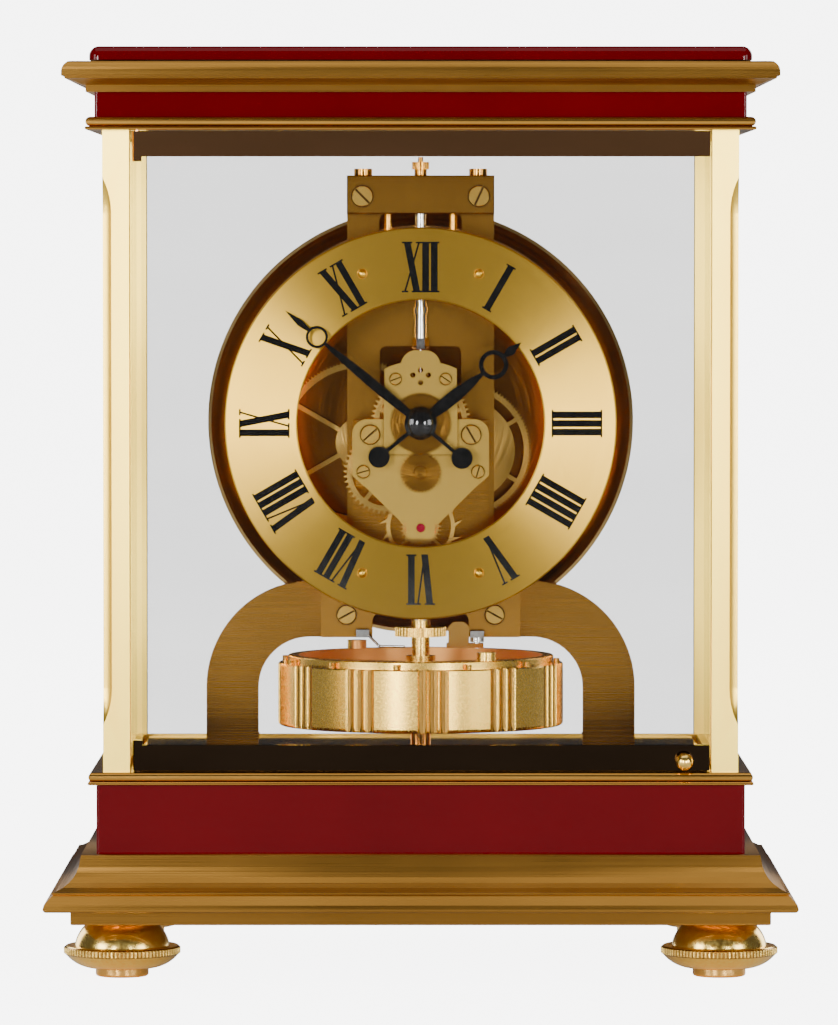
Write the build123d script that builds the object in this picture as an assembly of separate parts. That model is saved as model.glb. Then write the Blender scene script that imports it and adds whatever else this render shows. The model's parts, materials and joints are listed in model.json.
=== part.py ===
from build123d import *
import os
from math import atan2, cos, degrees, hypot, pi, radians, sin, sqrt

# Torsion-pendulum mantel clock. Millimetres, +Z up, +X to the right of the dial, -Y to the front.
# The origin is on the table under the middle of the clock.

# ---------------------------------------------------------------- driving dimensions

HALF_WIDTH = 112.8          # case half width at the tip of the plinth moulding
HALF_DEPTH = 86.0           # case half depth at the same tip
TOP_Z = 279.6               # top of the lacquered lid

# Case levels, from the table up.
UNDER_PLATE_Z = 16.6
PLINTH_Z = 21.0
LACQUER_LOW_Z = 37.4
DECK_Z = 58.2
POST_FOOT_Z = 62.0
POST_TOP_Z = 254.6
CORNICE_BAND_Z = 258.5
CORNICE_Z = 265.9
LID_Z = 275.5

# How far each layer stands in from the moulding tip, the same on all four sides.
UNDER_PLATE_INSET = 7.9
PLINTH_PANEL_INSET = 15.4
DECK_INSET = 13.1
BEAD_INSET = 12.6
CORNICE_PANEL_INSET = 15.2
LID_INSET = 13.6
POST_INSET = 17.4
PANEL_THICK = 1.6
CORE_INSET = 30.0
POST_SIDE = 8.0
FLUTE_RADIUS = 2.7
FLUTE_RUN_OUT = 11.0
FLUTE_MARGIN = 14.0
FLOOR_THICK = 1.6

# Glazing and the front door.
GLASS_THICK = 2.0
GLASS_BEVEL = 0.8
RAIL_HEIGHT = 7.6
RAIL_THICK = 3.2
RAIL_GAP = 0.3
RAIL_GROOVE = 3.0
DOOR_RECESS = 1.0
DOOR_PIVOT_X = -85.1
DOOR_BLOCK_WIDTH = 2.7
DOOR_BLOCK_EXTRA = 1.5
DOOR_RIGHT_X = 86.8
DOOR_PIN_RADIUS = 0.8
PIN_CLEARANCE = 0.04
DOOR_PIN_LENGTH = 8.0
KNOB_RADIUS = 2.7
KNOB_X = 79.2
KNOB_Z = 65.2

# Feet.
FOOT_X = 90.0
FOOT_INSET_Y = 22.8
PAD_RADIUS = 8.0
PAD_HEIGHT = 2.5
PAD_PIN_RADIUS = 2.0
PAD_PIN_HEIGHT = 3.0
FOOT_RIM_RADIUS = 17.6
FOOT_RIM_LOW_Z = 6.5
FOOT_RIM_HIGH_Z = 9.3
FOOT_NECK_RADIUS = 9.8
FOOT_KNURLS = 90
KNURL_RADIUS = 0.45
STUD_RADIUS = 3.0
STUD_HEIGHT = 14.0
STUD_HOLE_CLEARANCE = 0.1

# Dial and hands.
DIAL_Z = 165.5
DIAL_FRONT_Y = -22.0
DIAL_THICK = 1.2
DIAL_OUTER = 60.15
DIAL_INNER = 37.9
NUMERAL_INNER = 40.2
NUMERAL_OUTER = 55.7
NUMERAL_THICK = 0.15
DIAL_POST_X = 17.9
DIAL_POST_Z = 45.9
DIAL_POST_RADIUS = 1.55
DIAL_STEM_RADIUS = 1.3
MINUTE_ANGLE = 309.9
HOUR_ANGLE = 51.1
HAND_THICK = 0.5
HOUR_HAND_Y = -23.9
MINUTE_HAND_Y = -25.4
HAND_HUB_RADIUS = 4.2
CAP_RADIUS = 4.95
CAP_HEIGHT = 2.2
HAND_TAIL_RADIUS = 3.25

# Movement plates, front and back faces.
FRONT_PLATE_Y = (-18.4, -17.0)
CENTRE_BRIDGE_Y = (-19.2, -18.4)
MIDDLE_PLATE_Y = (-14.6, -13.2)
BACK_PLATE_Y = (-3.2, -1.7)
MAIN_PLATE_Y = (2.2, 5.2)
ARCH_Y = (5.2, 10.2)
BARREL_BRIDGE_Y = (16.2, 17.6)
MAIN_PLATE_HALF = 22.76
MAIN_PLATE_LOW_Z = 98.5
MAIN_PLATE_FOOT_HALF = 30.9
HEAD_LOW_Z = 229.9
HEAD_TOP_Z = 241.7
HEAD_FRONT_Y = -6.0
HEAD_SCREW_X = 17.8
HEAD_STUD_X = 10.0
SUSPENSION_RADIUS = 1.7
SUSPENSION_NUT_Z = 188.0
SUSPENSION_COLLAR_Z = 199.0
SUSPENSION_WIRE_Z = 106.0

# Pillars between the plates, as X and Z.
FRONT_PILLARS = ((-15.5, 162.0), (15.5, 162.0), (-17.7, 150.4), (17.7, 150.4))
TRAIN_PILLARS = ((18.5, 162.0), (-18.9, 164.0), (17.0, 147.6))
MAIN_PILLARS = ((-18.0, 160.0), (18.0, 160.0), (-18.0, 113.5), (18.0, 113.5))
BRIDGE_PILLARS = ((-9.0, 178.8), (9.0, 178.8))

# Arch bracket.
LEG_INNER_X = 50.5
LEG_OUTER_X = 66.6
ARCH_OUTER_RADIUS = 32.8
ARCH_INNER_RADIUS = 16.0
BEAM_LOW_Z = 98.5
BEAM_TOP_Z = 115.8
NOTCH_HALF = 15.0
NOTCH_TOP_Z = 106.0

# Wheel centres, as X and Z.
CENTRE = (0.0, DIAL_Z)
MOTION = (0.0, 150.4)
INTERMEDIATE = (-10.85, 150.19)
THIRD = (5.52, 146.28)
ESCAPE = (0.0, 133.3)
ANCHOR = (0.0, 115.5)
BARREL = (13.3, 156.5)
WINDING = (-18.5, 158.7)

# Teeth.
CANNON_TEETH = 8
MOTION_WHEEL_TEETH = 64
MOTION_PINION_TEETH = 36
HOUR_TEETH = 54
CENTRE_WHEEL_TEETH = 60
CENTRE_PINION_TEETH = 24
THIRD_PINION_TEETH = 20
THIRD_WHEEL_TEETH = 40
ESCAPE_PINION_TEETH = 30
ESCAPE_TEETH = 15
INTERMEDIATE_WHEEL_TEETH = 48
INTERMEDIATE_PINION_TEETH = 24
BARREL_TEETH = 120
WINDING_TEETH = 144
BARREL_ARBOR_TEETH = 36
TOOTH_SHARE = 0.40          # tooth thickness at the pitch circle, as a share of the pitch
TIP_SHARE = 0.20            # tooth thickness at the tip
ADDENDUM = 0.80             # in modules
DEDENDUM = 1.20
WHEEL_THICK = 1.0
ARBOR_RADIUS = 0.5
BARREL_ARBOR_RADIUS = 1.5
MOTION_ARBOR_RADIUS = 1.0
CENTRE_BORE_RADIUS = 2.0
BRIDGE_BORE_RADIUS = 2.6
ARBOR_CLEARANCE = 0.05
ESCAPE_RADIUS = 13.0

# Balance (torsion pendulum), about the Z axis through the origin.
BALANCE_OUTER = 44.2
BALANCE_INNER = 37.6
BALANCE_LOW_Z = 71.6
BALANCE_RIM_Z = 91.0
BALANCE_LIP_Z = 93.3
BALANCE_LIP_OUTER = 41.2
FLUTE_GROUPS = 12
FLUTES_IN_GROUP = 3
FLUTE_GROUP_PHASE = 5.0
FLUTE_PITCH_DEG = 4.3
BALANCE_FLUTE_RADIUS = 1.7
BALANCE_FLUTE_DEPTH = 0.9
SPOKES = 3
SPOKE_WIDTH = 7.0
SPOKE_Z = (89.2, 90.8)
HUB_RADIUS = 10.0
BALANCE_PIN_Z = 67.0
ROLLER_Z = (99.0, 101.8)

# Bellows housing behind the dial.
HOUSING_RADIUS = 66.3
HOUSING_FRONT_Y = 14.0
HOUSING_BACK_Y = 52.0
HOUSING_WALL = 1.4
HOUSING_DISH_Y = 20.0
HOUSING_BAND = 3.4
BELLOWS_OUTER = 54.0
BELLOWS_INNER = 47.0
BELLOWS_FRONT_Y = 30.0
BELLOWS_FOLDS = 5
BELLOWS_WALL = 0.6

os.makedirs("parts", exist_ok=True)


# ---------------------------------------------------------------- helpers

def save(name, *solids):
    """Write one node, as one solid or as a group of separate solids."""
    pieces = []
    for solid in solids:
        pieces.extend(solid.solids())
    node = pieces[0] if len(pieces) == 1 else Compound(children=pieces)
    node.label = name
    export_step(node, "parts/" + name + ".step")


def facing(sketch, y_front, y_back):
    """Extrude a drawing of X and Z between two depths."""
    return extrude(Plane.XZ.offset(-y_back) * sketch, amount=y_back - y_front)


def rod(x, z, radius, y_front, y_back):
    """A round bar that runs from front to back."""
    return facing(Pos(x, z) * Circle(radius), y_front, y_back)


def post(x, y, radius, z_low, z_high):
    """A round upright bar."""
    return Pos(x, y, z_low) * Cylinder(
        radius, z_high - z_low, align=(Align.CENTER, Align.CENTER, Align.MIN))


def block(x_low, x_high, y_low, y_high, z_low, z_high):
    """A plain box between two corners."""
    size = (x_high - x_low, y_high - y_low, z_high - z_low)
    return Pos(x_low, y_low, z_low) * Box(*size, align=(Align.MIN, Align.MIN, Align.MIN))


def layer(inset, z_low, z_high):
    """A slab of the case, standing in from the moulding tip by the same amount all round."""
    half_x = HALF_WIDTH - inset
    half_y = HALF_DEPTH - inset
    return block(-half_x, half_x, -half_y, half_y, z_low, z_high)


def outline(start, *steps):
    """A closed wire: points for straight runs, ('arc', middle, end) for round ones."""
    edges = []
    here = start
    for step in steps:
        if step[0] == "arc":
            edges.append(ThreePointArc(here, step[1], step[2]))
            here = step[2]
        else:
            edges.append(Line(here, step))
            here = step
    if hypot(here[0] - start[0], here[1] - start[1]) > 1e-6:
        edges.append(Line(here, start))
    return make_face(Curve() + edges)


def mitred(profile_points):
    """Mould all four sides: a half profile of (inset, z), mirrored, run both ways and crossed."""
    def run(half, length, plane):
        right = [(half - inset, z) for inset, z in profile_points]
        left = [(-x, z) for x, z in reversed(right)]
        face = make_face(Polyline(*(right + left), close=True))
        return extrude(plane * face, amount=length, both=True)
    along_y = run(HALF_WIDTH, HALF_DEPTH, Plane.XZ)
    along_x = run(HALF_DEPTH, HALF_WIDTH, Plane.YZ)
    return along_y & along_x


def arc_points(centre, radius, start_deg, end_deg, count):
    """Evenly spaced points on a round stretch of a profile."""
    points = []
    for step in range(count + 1):
        angle = radians(start_deg + (end_deg - start_deg) * step / count)
        points.append((centre[0] + radius * cos(angle), centre[1] + radius * sin(angle)))
    return points


def panel_ring(inset, z_low, z_high):
    """Four lacquered panels round a core, the side ones between the front and back ones."""
    half_x = HALF_WIDTH - inset
    half_y = HALF_DEPTH - inset
    inner_y = half_y - PANEL_THICK
    panels = []
    for side in (-1, 1):
        y_low, y_high = sorted((side * half_y, side * inner_y))
        panel = block(-half_x, half_x, y_low, y_high, z_low, z_high)
        upright = panel.edges().filter_by(Axis.Z).group_by(Axis.Y)[0 if side < 0 else -1]
        panels.append(fillet(upright, 0.8))
        x_low, x_high = sorted((side * half_x, side * (half_x - PANEL_THICK)))
        panels.append(block(x_low, x_high, -inner_y, inner_y, z_low, z_high))
    return panels


def slot_screw(x, z, radius, y_face, slot_deg, head=1.0):
    """A slotted cheese-head screw, its head standing in front of a face."""
    head_solid = rod(x, z, radius, y_face - head, y_face)
    head_solid = chamfer(head_solid.edges().group_by(Axis.Y)[0], 0.2)
    slot = Pos(x, y_face - head, z) * Rot(0, -slot_deg, 0) * Box(3 * radius, head, 0.22 * radius)
    return head_solid - slot


def turned(steps):
    """A part turned about the Z axis, as bars of (radius, low, high) on top of each other."""
    radius, z_low, z_high = steps[0]
    body = post(0, 0, radius, z_low, z_high)
    for radius, z_low, z_high in steps[1:]:
        body += post(0, 0, radius, z_low, z_high)
    return body


def knurled(body, radius, notch_radius, count, z_low, z_high):
    """Cut upright notches all round a part."""
    notches = [Rot(0, 0, turn * 360 / count) * post(radius, 0, notch_radius, z_low, z_high)
               for turn in range(count)]
    return body - notches


# ---------------------------------------------------------------- gears

def module_of(a, b, teeth_a, teeth_b):
    """The module that two wheels need to fill the distance between their centres."""
    return 2 * hypot(a[0] - b[0], a[1] - b[1]) / (teeth_a + teeth_b)


def heading(a, b):
    """Direction from one centre to another, in degrees from +X towards +Z."""
    return degrees(atan2(b[1] - a[1], b[0] - a[0]))


def gear_face(teeth, module, phase_deg):
    """Outline of a wheel with slim straight-sided teeth; one tooth points along phase_deg."""
    pitch = radians(360 / teeth)
    tip = module * (teeth / 2 + ADDENDUM)
    root = module * (teeth / 2 - DEDENDUM)
    half_root = pitch * (TOOTH_SHARE + 0.5 * (TOOTH_SHARE - TIP_SHARE)) / 2
    half_tip = pitch * TIP_SHARE / 2
    points = []
    for tooth in range(teeth):
        middle = radians(phase_deg) + tooth * pitch
        corners = ((root, -half_root), (tip, -half_tip), (tip, half_tip), (root, half_root))
        for radius, turn in corners:
            points.append((radius * cos(middle + turn), radius * sin(middle + turn)))
    return make_face(Polyline(*points, close=True))


def wheel(centre, teeth, module, phase_deg, y_front, thick=WHEEL_THICK, spokes=0, hub=0.0, rim=0.0):
    """A toothed wheel; with spokes, the web between hub and rim is cut through."""
    face = gear_face(teeth, module, phase_deg)
    if spokes:
        inner = module * (teeth / 2 - DEDENDUM) - rim
        window = Circle(inner) - Circle(hub)
        bar = rim * 0.8
        for arm in range(spokes):
            window -= Rot(0, 0, 90 + arm * 360 / spokes) * Pos(inner / 2, 0) * Rectangle(inner + hub, bar)
        face -= window
    return facing(Pos(*centre) * face, y_front, y_front + thick)


def arbor(centre, y_front, y_back, radius=ARBOR_RADIUS):
    """The steel shaft of a wheel."""
    return rod(centre[0], centre[1], radius, y_front, y_back)


def bore(centre, radius, plate_y):
    """A round hole right through a plate."""
    return rod(centre[0], centre[1], radius, plate_y[0] - 1, plate_y[1] + 1)


def pivot_hole(centre, plate_y, radius=ARBOR_RADIUS):
    """The hole in a plate that an arbor turns in."""
    return bore(centre, radius + ARBOR_CLEARANCE, plate_y)


# ---------------------------------------------------------------- case

def foot_positions(side_y):
    """Both feet of the front (-1) or back (+1) pair."""
    return [(side_x * FOOT_X, side_y * (HALF_DEPTH - FOOT_INSET_Y)) for side_x in (-1, 1)]


def base_plate():
    """Flat plate under the plinth, with holes for the levelling studs."""
    plate = layer(UNDER_PLATE_INSET, UNDER_PLATE_Z, PLINTH_Z)
    plate = fillet(plate.edges().group_by(Axis.Z)[0], 0.6)
    for x, y in foot_positions(-1):
        plate -= post(x, y, STUD_RADIUS + STUD_HOLE_CLEARANCE, UNDER_PLATE_Z - 1, PLINTH_Z + 1)
    save("base_plate", plate)


def plinth_moulding():
    """Frame of hollow-curved brass moulding with a beaded nose."""
    nose = arc_points((1.15, PLINTH_Z + 1.15), 1.15, -90, 0, 5)
    nose = [(1.15 - (x - 1.15), z) for x, z in nose]
    profile = nose + [(0.3, 23.3), (3.0, 26.2), (2.6, 26.4), (2.6, 26.9)]
    cove = [(3.6, 27.0), (5.8, 28.1), (7.5, 29.4), (8.9, 31.0), (9.7, 32.4), (10.3, 33.9), (11.0, 37.4)]
    moulding = mitred(profile + cove) - layer(CORE_INSET, PLINTH_Z, LACQUER_LOW_Z)
    for x, y in foot_positions(-1):
        moulding -= post(x, y, STUD_RADIUS + STUD_HOLE_CLEARANCE, PLINTH_Z - 1, UNDER_PLATE_Z + STUD_HEIGHT)
    save("plinth_moulding", moulding)


def case_cores():
    """Wooden cores that the mouldings and lacquered panels are fixed to, in plinth and cornice."""
    plinth = layer(PLINTH_PANEL_INSET + PANEL_THICK, LACQUER_LOW_Z, DECK_Z)
    plinth += layer(CORE_INSET, PLINTH_Z, LACQUER_LOW_Z)
    for x, y in foot_positions(-1):
        plinth -= post(x, y, STUD_RADIUS + STUD_HOLE_CLEARANCE, PLINTH_Z - 1, UNDER_PLATE_Z + STUD_HEIGHT)
    cornice = layer(CORNICE_PANEL_INSET + PANEL_THICK, CORNICE_BAND_Z, CORNICE_Z)
    cornice += layer(CORE_INSET, CORNICE_Z, LID_Z)
    save("case_cores", plinth, cornice)


def lacquer_panels():
    """The red bands of plinth and cornice."""
    plinth = panel_ring(PLINTH_PANEL_INSET, LACQUER_LOW_Z, DECK_Z)
    cornice = panel_ring(CORNICE_PANEL_INSET, CORNICE_BAND_Z, CORNICE_Z)
    save("lacquer_panels", *plinth, *cornice)


def nosed_layer(inset, z_low, z_high):
    """A thin slab with a bead under a rounded nose."""
    bead = 1.0
    nose = (z_high - z_low - bead) / 2
    low = arc_points((bead / 2 + 0.3, z_low + bead / 2), bead / 2, -90, 90, 6)
    high = arc_points((nose, z_low + bead + nose), nose, -90, 90, 10)
    low = [(inset + bead / 2 + 0.6 - x, z) for x, z in low]
    high = [(inset + 2 * nose - x, z) for x, z in high]
    return mitred(low + high)


def door_pin_hole(z_low, z_high):
    """Hole that holds a pivot pin of the door."""
    return post(DOOR_PIVOT_X, door_middle_y(), DOOR_PIN_RADIUS, z_low, z_high)


def deck_plate():
    """Brass slab on the plinth that the posts stand on."""
    deck = nosed_layer(DECK_INSET, DECK_Z, POST_FOOT_Z)
    save("deck_plate", deck - door_pin_hole(POST_FOOT_Z - 3, POST_FOOT_Z + 1))


def top_frame():
    """Beaded slab on the posts."""
    slab = nosed_layer(BEAD_INSET, POST_TOP_Z, CORNICE_BAND_Z)
    save("top_frame", slab - door_pin_hole(POST_TOP_Z - 1, POST_TOP_Z + 3))


def cornice_moulding():
    """Frame of upper moulding: fillet, hollow curve, tip and quarter round."""
    fillet_part = [(12.7, CORNICE_Z), (12.7, 268.0), (11.9, 268.0)]
    cove = [(10.9, 268.4), (9.6, 269.0), (8.0, 269.6), (6.7, 269.8), (6.7, 270.6), (5.7, 270.6), (5.7, 271.8)]
    thumb = arc_points((10.0, 271.8), 4.3, 180, 90, 8)
    thumb = [(inset, z if z < LID_Z else LID_Z) for inset, z in thumb]
    scaled = [(inset, 271.8 + (z - 271.8) * (LID_Z - 271.8) / 4.3) for inset, z in thumb]
    moulding = mitred(fillet_part + cove + scaled[1:])
    save("cornice_moulding", moulding - layer(CORE_INSET, CORNICE_Z, LID_Z))


def top_panel():
    """Red lacquered lid with rounded edges."""
    lid = layer(LID_INSET, LID_Z, TOP_Z)
    lid = fillet(lid.edges().filter_by(Axis.Z), 3.0)
    save("top_panel", fillet(lid.edges().group_by(Axis.Z)[-1], 3.0))


def floor_plate():
    """Gilt floor inside the case, with a cup that guides the pin under the balance."""
    half_x = HALF_WIDTH - POST_INSET - POST_SIDE - 1.0
    y_low = -(HALF_DEPTH - POST_INSET) + DOOR_RECESS + RAIL_THICK + 2.0
    y_high = HALF_DEPTH - POST_INSET - POST_SIDE / 2 - GLASS_THICK / 2 - 3.0
    plate = block(-half_x, half_x, y_low, y_high, POST_FOOT_Z, POST_FOOT_Z + FLOOR_THICK)
    cup = post(0, 0, 3.2, POST_FOOT_Z + FLOOR_THICK, 69.0) - post(0, 0, 1.6, 66.0, 70.0)
    save("floor_plate", plate + cup)


def corner_posts():
    """Four square posts, each with a stopped flute on its outer corner."""
    half_x = HALF_WIDTH - POST_INSET
    half_y = HALF_DEPTH - POST_INSET
    flute_low = POST_FOOT_Z + FLUTE_MARGIN
    flute_high = POST_TOP_Z - FLUTE_MARGIN
    posts = []
    for side_x in (-1, 1):
        for side_y in (-1, 1):
            x_low, x_high = sorted((side_x * half_x, side_x * (half_x - POST_SIDE)))
            y_low, y_high = sorted((side_y * half_y, side_y * (half_y - POST_SIDE)))
            body = block(x_low, x_high, y_low, y_high, POST_FOOT_Z, POST_TOP_Z)
            straight = post(side_x * half_x, side_y * half_y, FLUTE_RADIUS,
                            flute_low + FLUTE_RUN_OUT, flute_high - FLUTE_RUN_OUT)
            body -= straight
            for z_wide, z_end in ((flute_low + FLUTE_RUN_OUT, flute_low),
                                  (flute_high - FLUTE_RUN_OUT, flute_high)):
                body -= run_out(side_x * half_x, side_y * half_y, z_wide, z_end)
            posts.append(body)
    save("corner_posts", *posts)


def run_out(x, y, z_wide, z_end):
    """The end of a flute, where its radius dies away on a long arc."""
    length = abs(z_end - z_wide)
    direction = 1 if z_end > z_wide else -1
    sweep = (length ** 2 + FLUTE_RADIUS ** 2) / (2 * FLUTE_RADIUS)
    middle_z = length / 2
    middle_r = FLUTE_RADIUS - sweep + sqrt(sweep ** 2 - middle_z ** 2)
    far_end = ("arc", (middle_r, direction * middle_z), (0, direction * length))
    face = outline((0, 0), (FLUTE_RADIUS, 0), far_end)
    return Pos(x, y, z_wide) * revolve(Plane.XZ * face, Axis.Z)


def glass_pane(width, height, thick):
    """An upright pane in X and Z with bevelled edges, standing on Z = 0."""
    pane = Box(width, thick, height, align=(Align.CENTER, Align.CENTER, Align.MIN))
    front = pane.faces().sort_by(Axis.Y)[0].edges()
    back = pane.faces().sort_by(Axis.Y)[-1].edges()
    return chamfer(front + back, GLASS_BEVEL)


def glazing():
    """Side and rear panes between the posts, and the brass strips that hold them."""
    inner_x = HALF_WIDTH - POST_INSET - POST_SIDE
    inner_y = HALF_DEPTH - POST_INSET - POST_SIDE
    height = POST_TOP_Z - POST_FOOT_Z
    middle_x = inner_x + POST_SIDE / 2
    middle_y = inner_y + POST_SIDE / 2
    side_pane = Rot(0, 0, 90) * glass_pane(2 * inner_y, height, GLASS_THICK)
    sides = [Pos(side * middle_x, 0, POST_FOOT_Z) * side_pane for side in (-1, 1)]
    rear = Pos(0, middle_y, POST_FOOT_Z) * glass_pane(2 * inner_x, height, GLASS_THICK)
    save("case_glasses", *sides, rear)
    strips = []
    strip = 2.2
    for z_low in (POST_FOOT_Z, POST_TOP_Z - strip):
        for side in (-1, 1):
            x_far = side * (middle_x - GLASS_THICK / 2)
            x_low, x_high = sorted((x_far, x_far - side * strip))
            strips.append(block(x_low, x_high, -inner_y, inner_y, z_low, z_low + strip))
        y_far = middle_y - GLASS_THICK / 2
        strips.append(block(-inner_x, inner_x, y_far - strip, y_far, z_low, z_low + strip))
    save("glazing_strips", *strips)


def door_middle_y():
    """Depth of the door's middle plane."""
    return -(HALF_DEPTH - POST_INSET) + DOOR_RECESS + RAIL_THICK / 2


def front_door():
    """Frameless glass door: pane, two rails, two pivot blocks, ball knob, and fixed pivot pins."""
    y_middle = door_middle_y()
    y_low = y_middle - RAIL_THICK / 2
    y_high = y_middle + RAIL_THICK / 2
    rail_left = DOOR_PIVOT_X + DOOR_BLOCK_WIDTH / 2
    levels = (POST_FOOT_Z + RAIL_GAP, POST_TOP_Z - RAIL_GAP)
    glass_low = levels[0] + RAIL_HEIGHT - RAIL_GROOVE
    glass_high = levels[1] - RAIL_HEIGHT + RAIL_GROOVE
    width = DOOR_RIGHT_X - rail_left
    pane = glass_pane(width, glass_high - glass_low, GLASS_THICK)
    pane = Pos(rail_left + width / 2, y_middle, glass_low) * pane
    groove = block(rail_left - 1, DOOR_RIGHT_X + 1, y_middle - GLASS_THICK / 2, y_middle + GLASS_THICK / 2,
                   glass_low, glass_high)
    rails = []
    blocks = []
    pins = []
    half_block = DOOR_BLOCK_WIDTH / 2
    for end, z_outer in zip((1, -1), levels):
        z_low, z_high = sorted((z_outer, z_outer + end * RAIL_HEIGHT))
        rails.append(block(rail_left, DOOR_RIGHT_X, y_low, y_high, z_low, z_high) - groove)
        z_low, z_high = sorted((z_outer, z_outer + end * (RAIL_HEIGHT + DOOR_BLOCK_EXTRA)))
        pivot = block(DOOR_PIVOT_X - half_block, rail_left, y_middle - half_block, y_middle + half_block,
                      z_low, z_high)
        pivot = chamfer(pivot.edges().filter_by(Axis.Z).group_by(Axis.X)[0], 0.4)
        pin_far = z_outer + end * (DOOR_PIN_LENGTH - 3)
        pin_near = z_outer - end * (RAIL_GAP + 3)
        pin_low, pin_high = sorted((pin_near, pin_far))
        bore = post(DOOR_PIVOT_X, y_middle, DOOR_PIN_RADIUS + PIN_CLEARANCE, pin_low - 0.2, pin_high + 0.2)
        blocks.append(pivot - bore)
        pins.append(post(DOOR_PIVOT_X, y_middle, DOOR_PIN_RADIUS, pin_low, pin_high))
    stem = rod(KNOB_X, KNOB_Z, 1.0, y_low - 2.0, y_low)
    ball = Pos(KNOB_X, y_low - 1.4 - KNOB_RADIUS, KNOB_Z) * Sphere(KNOB_RADIUS)
    collar = rod(KNOB_X, KNOB_Z, 1.7, y_low - 0.6, y_low)
    save("door_glass", pane)
    save("door_rails", *rails)
    save("door_pivot_blocks", *blocks)
    save("door_hinge_pins", *pins)
    save("door_knob", ball + stem + collar)


def foot_wheel(x, y, lift, studded):
    """Knurled foot: bowl, knurled rim and dome; a levelling foot also has a threaded stud."""
    bowl_low = PAD_HEIGHT
    face = outline(
        (0, bowl_low), (PAD_RADIUS, bowl_low),
        ("arc", (FOOT_RIM_RADIUS * 0.78, 3.9), (FOOT_RIM_RADIUS - 0.7, FOOT_RIM_LOW_Z)),
        (FOOT_RIM_RADIUS, FOOT_RIM_LOW_Z + 0.6), (FOOT_RIM_RADIUS, FOOT_RIM_HIGH_Z - 0.6),
        (FOOT_RIM_RADIUS - 0.7, FOOT_RIM_HIGH_Z), (14.3, FOOT_RIM_HIGH_Z + 0.1),
        ("arc", (12.9, 13.2), (FOOT_NECK_RADIUS, UNDER_PLATE_Z - lift)), (0, UNDER_PLATE_Z - lift))
    body = revolve(Plane.XZ * face, Axis.Z)
    cutter = post(FOOT_RIM_RADIUS + 0.15, 0, KNURL_RADIUS, FOOT_RIM_LOW_Z - 1, FOOT_RIM_HIGH_Z + 1)
    cutters = [Rot(0, 0, turn * 360 / FOOT_KNURLS) * cutter for turn in range(FOOT_KNURLS)]
    body -= cutters
    if studded:
        body += post(0, 0, STUD_RADIUS, UNDER_PLATE_Z - 1, UNDER_PLATE_Z + STUD_HEIGHT - 1)
        body -= post(0, 0, PAD_PIN_RADIUS + PIN_CLEARANCE, bowl_low - 1, bowl_low + PAD_PIN_HEIGHT + 0.2)
    return Pos(x, y, 0) * body


def feet():
    """Two levelling feet at the front, each on a pad that does not turn, and two fixed ones behind."""
    running_gap = 0.05
    for name, (x, y) in zip(("left", "right"), foot_positions(-1)):
        save("foot_wheel_" + name, foot_wheel(x, y, running_gap, True))
        pad = fillet(post(0, 0, PAD_RADIUS, 0, PAD_HEIGHT - running_gap).edges().group_by(Axis.Z)[0], 0.8)
        pad += post(0, 0, PAD_PIN_RADIUS, PAD_HEIGHT - 1, PAD_HEIGHT + PAD_PIN_HEIGHT)
        save("foot_pad_" + name, Pos(x, y, 0) * pad)
    rear = []
    for x, y in foot_positions(1):
        pad = fillet(post(x, y, PAD_RADIUS, 0, PAD_HEIGHT).edges().group_by(Axis.Z)[0], 0.8)
        rear.append(foot_wheel(x, y, 0, False) + pad)
    save("rear_feet", *rear)


# ---------------------------------------------------------------- movement frame

def arch_bracket():
    """Flat arch that carries the movement, and the feet that fasten it to the floor."""
    floor_z = POST_FOOT_Z + FLOOR_THICK
    bend_z = 83.0
    bend_x = LEG_OUTER_X - ARCH_OUTER_RADIUS
    inner_x = LEG_INNER_X - ARCH_INNER_RADIUS
    inner_z = BEAM_LOW_Z - ARCH_INNER_RADIUS
    inner_bend = (inner_x + ARCH_INNER_RADIUS * cos(pi / 4), inner_z + ARCH_INNER_RADIUS * sin(pi / 4))
    half = outline(
        (0, BEAM_LOW_Z), (inner_x, BEAM_LOW_Z), ("arc", inner_bend, (LEG_INNER_X, inner_z)),
        (LEG_INNER_X, floor_z), (LEG_OUTER_X, floor_z), (LEG_OUTER_X, bend_z),
        ("arc", (bend_x + ARCH_OUTER_RADIUS * cos(pi / 4), bend_z + ARCH_OUTER_RADIUS * sin(pi / 4)),
         (bend_x, bend_z + ARCH_OUTER_RADIUS)),
        (0, BEAM_TOP_Z))
    face = half + mirror(half, Plane.YZ)
    notch = RectangleRounded(2 * NOTCH_HALF, 2 * (NOTCH_TOP_Z - BEAM_LOW_Z), 2.5)
    face -= Pos(0, BEAM_LOW_Z) * notch
    bracket = facing(face, *ARCH_Y)
    for side in (-1, 1):
        x_low, x_high = sorted((side * LEG_INNER_X, side * LEG_OUTER_X))
        bracket += block(x_low, x_high, ARCH_Y[1], ARCH_Y[1] + 12, floor_z, floor_z + 4)
    save("arch_bracket", bracket)


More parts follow.
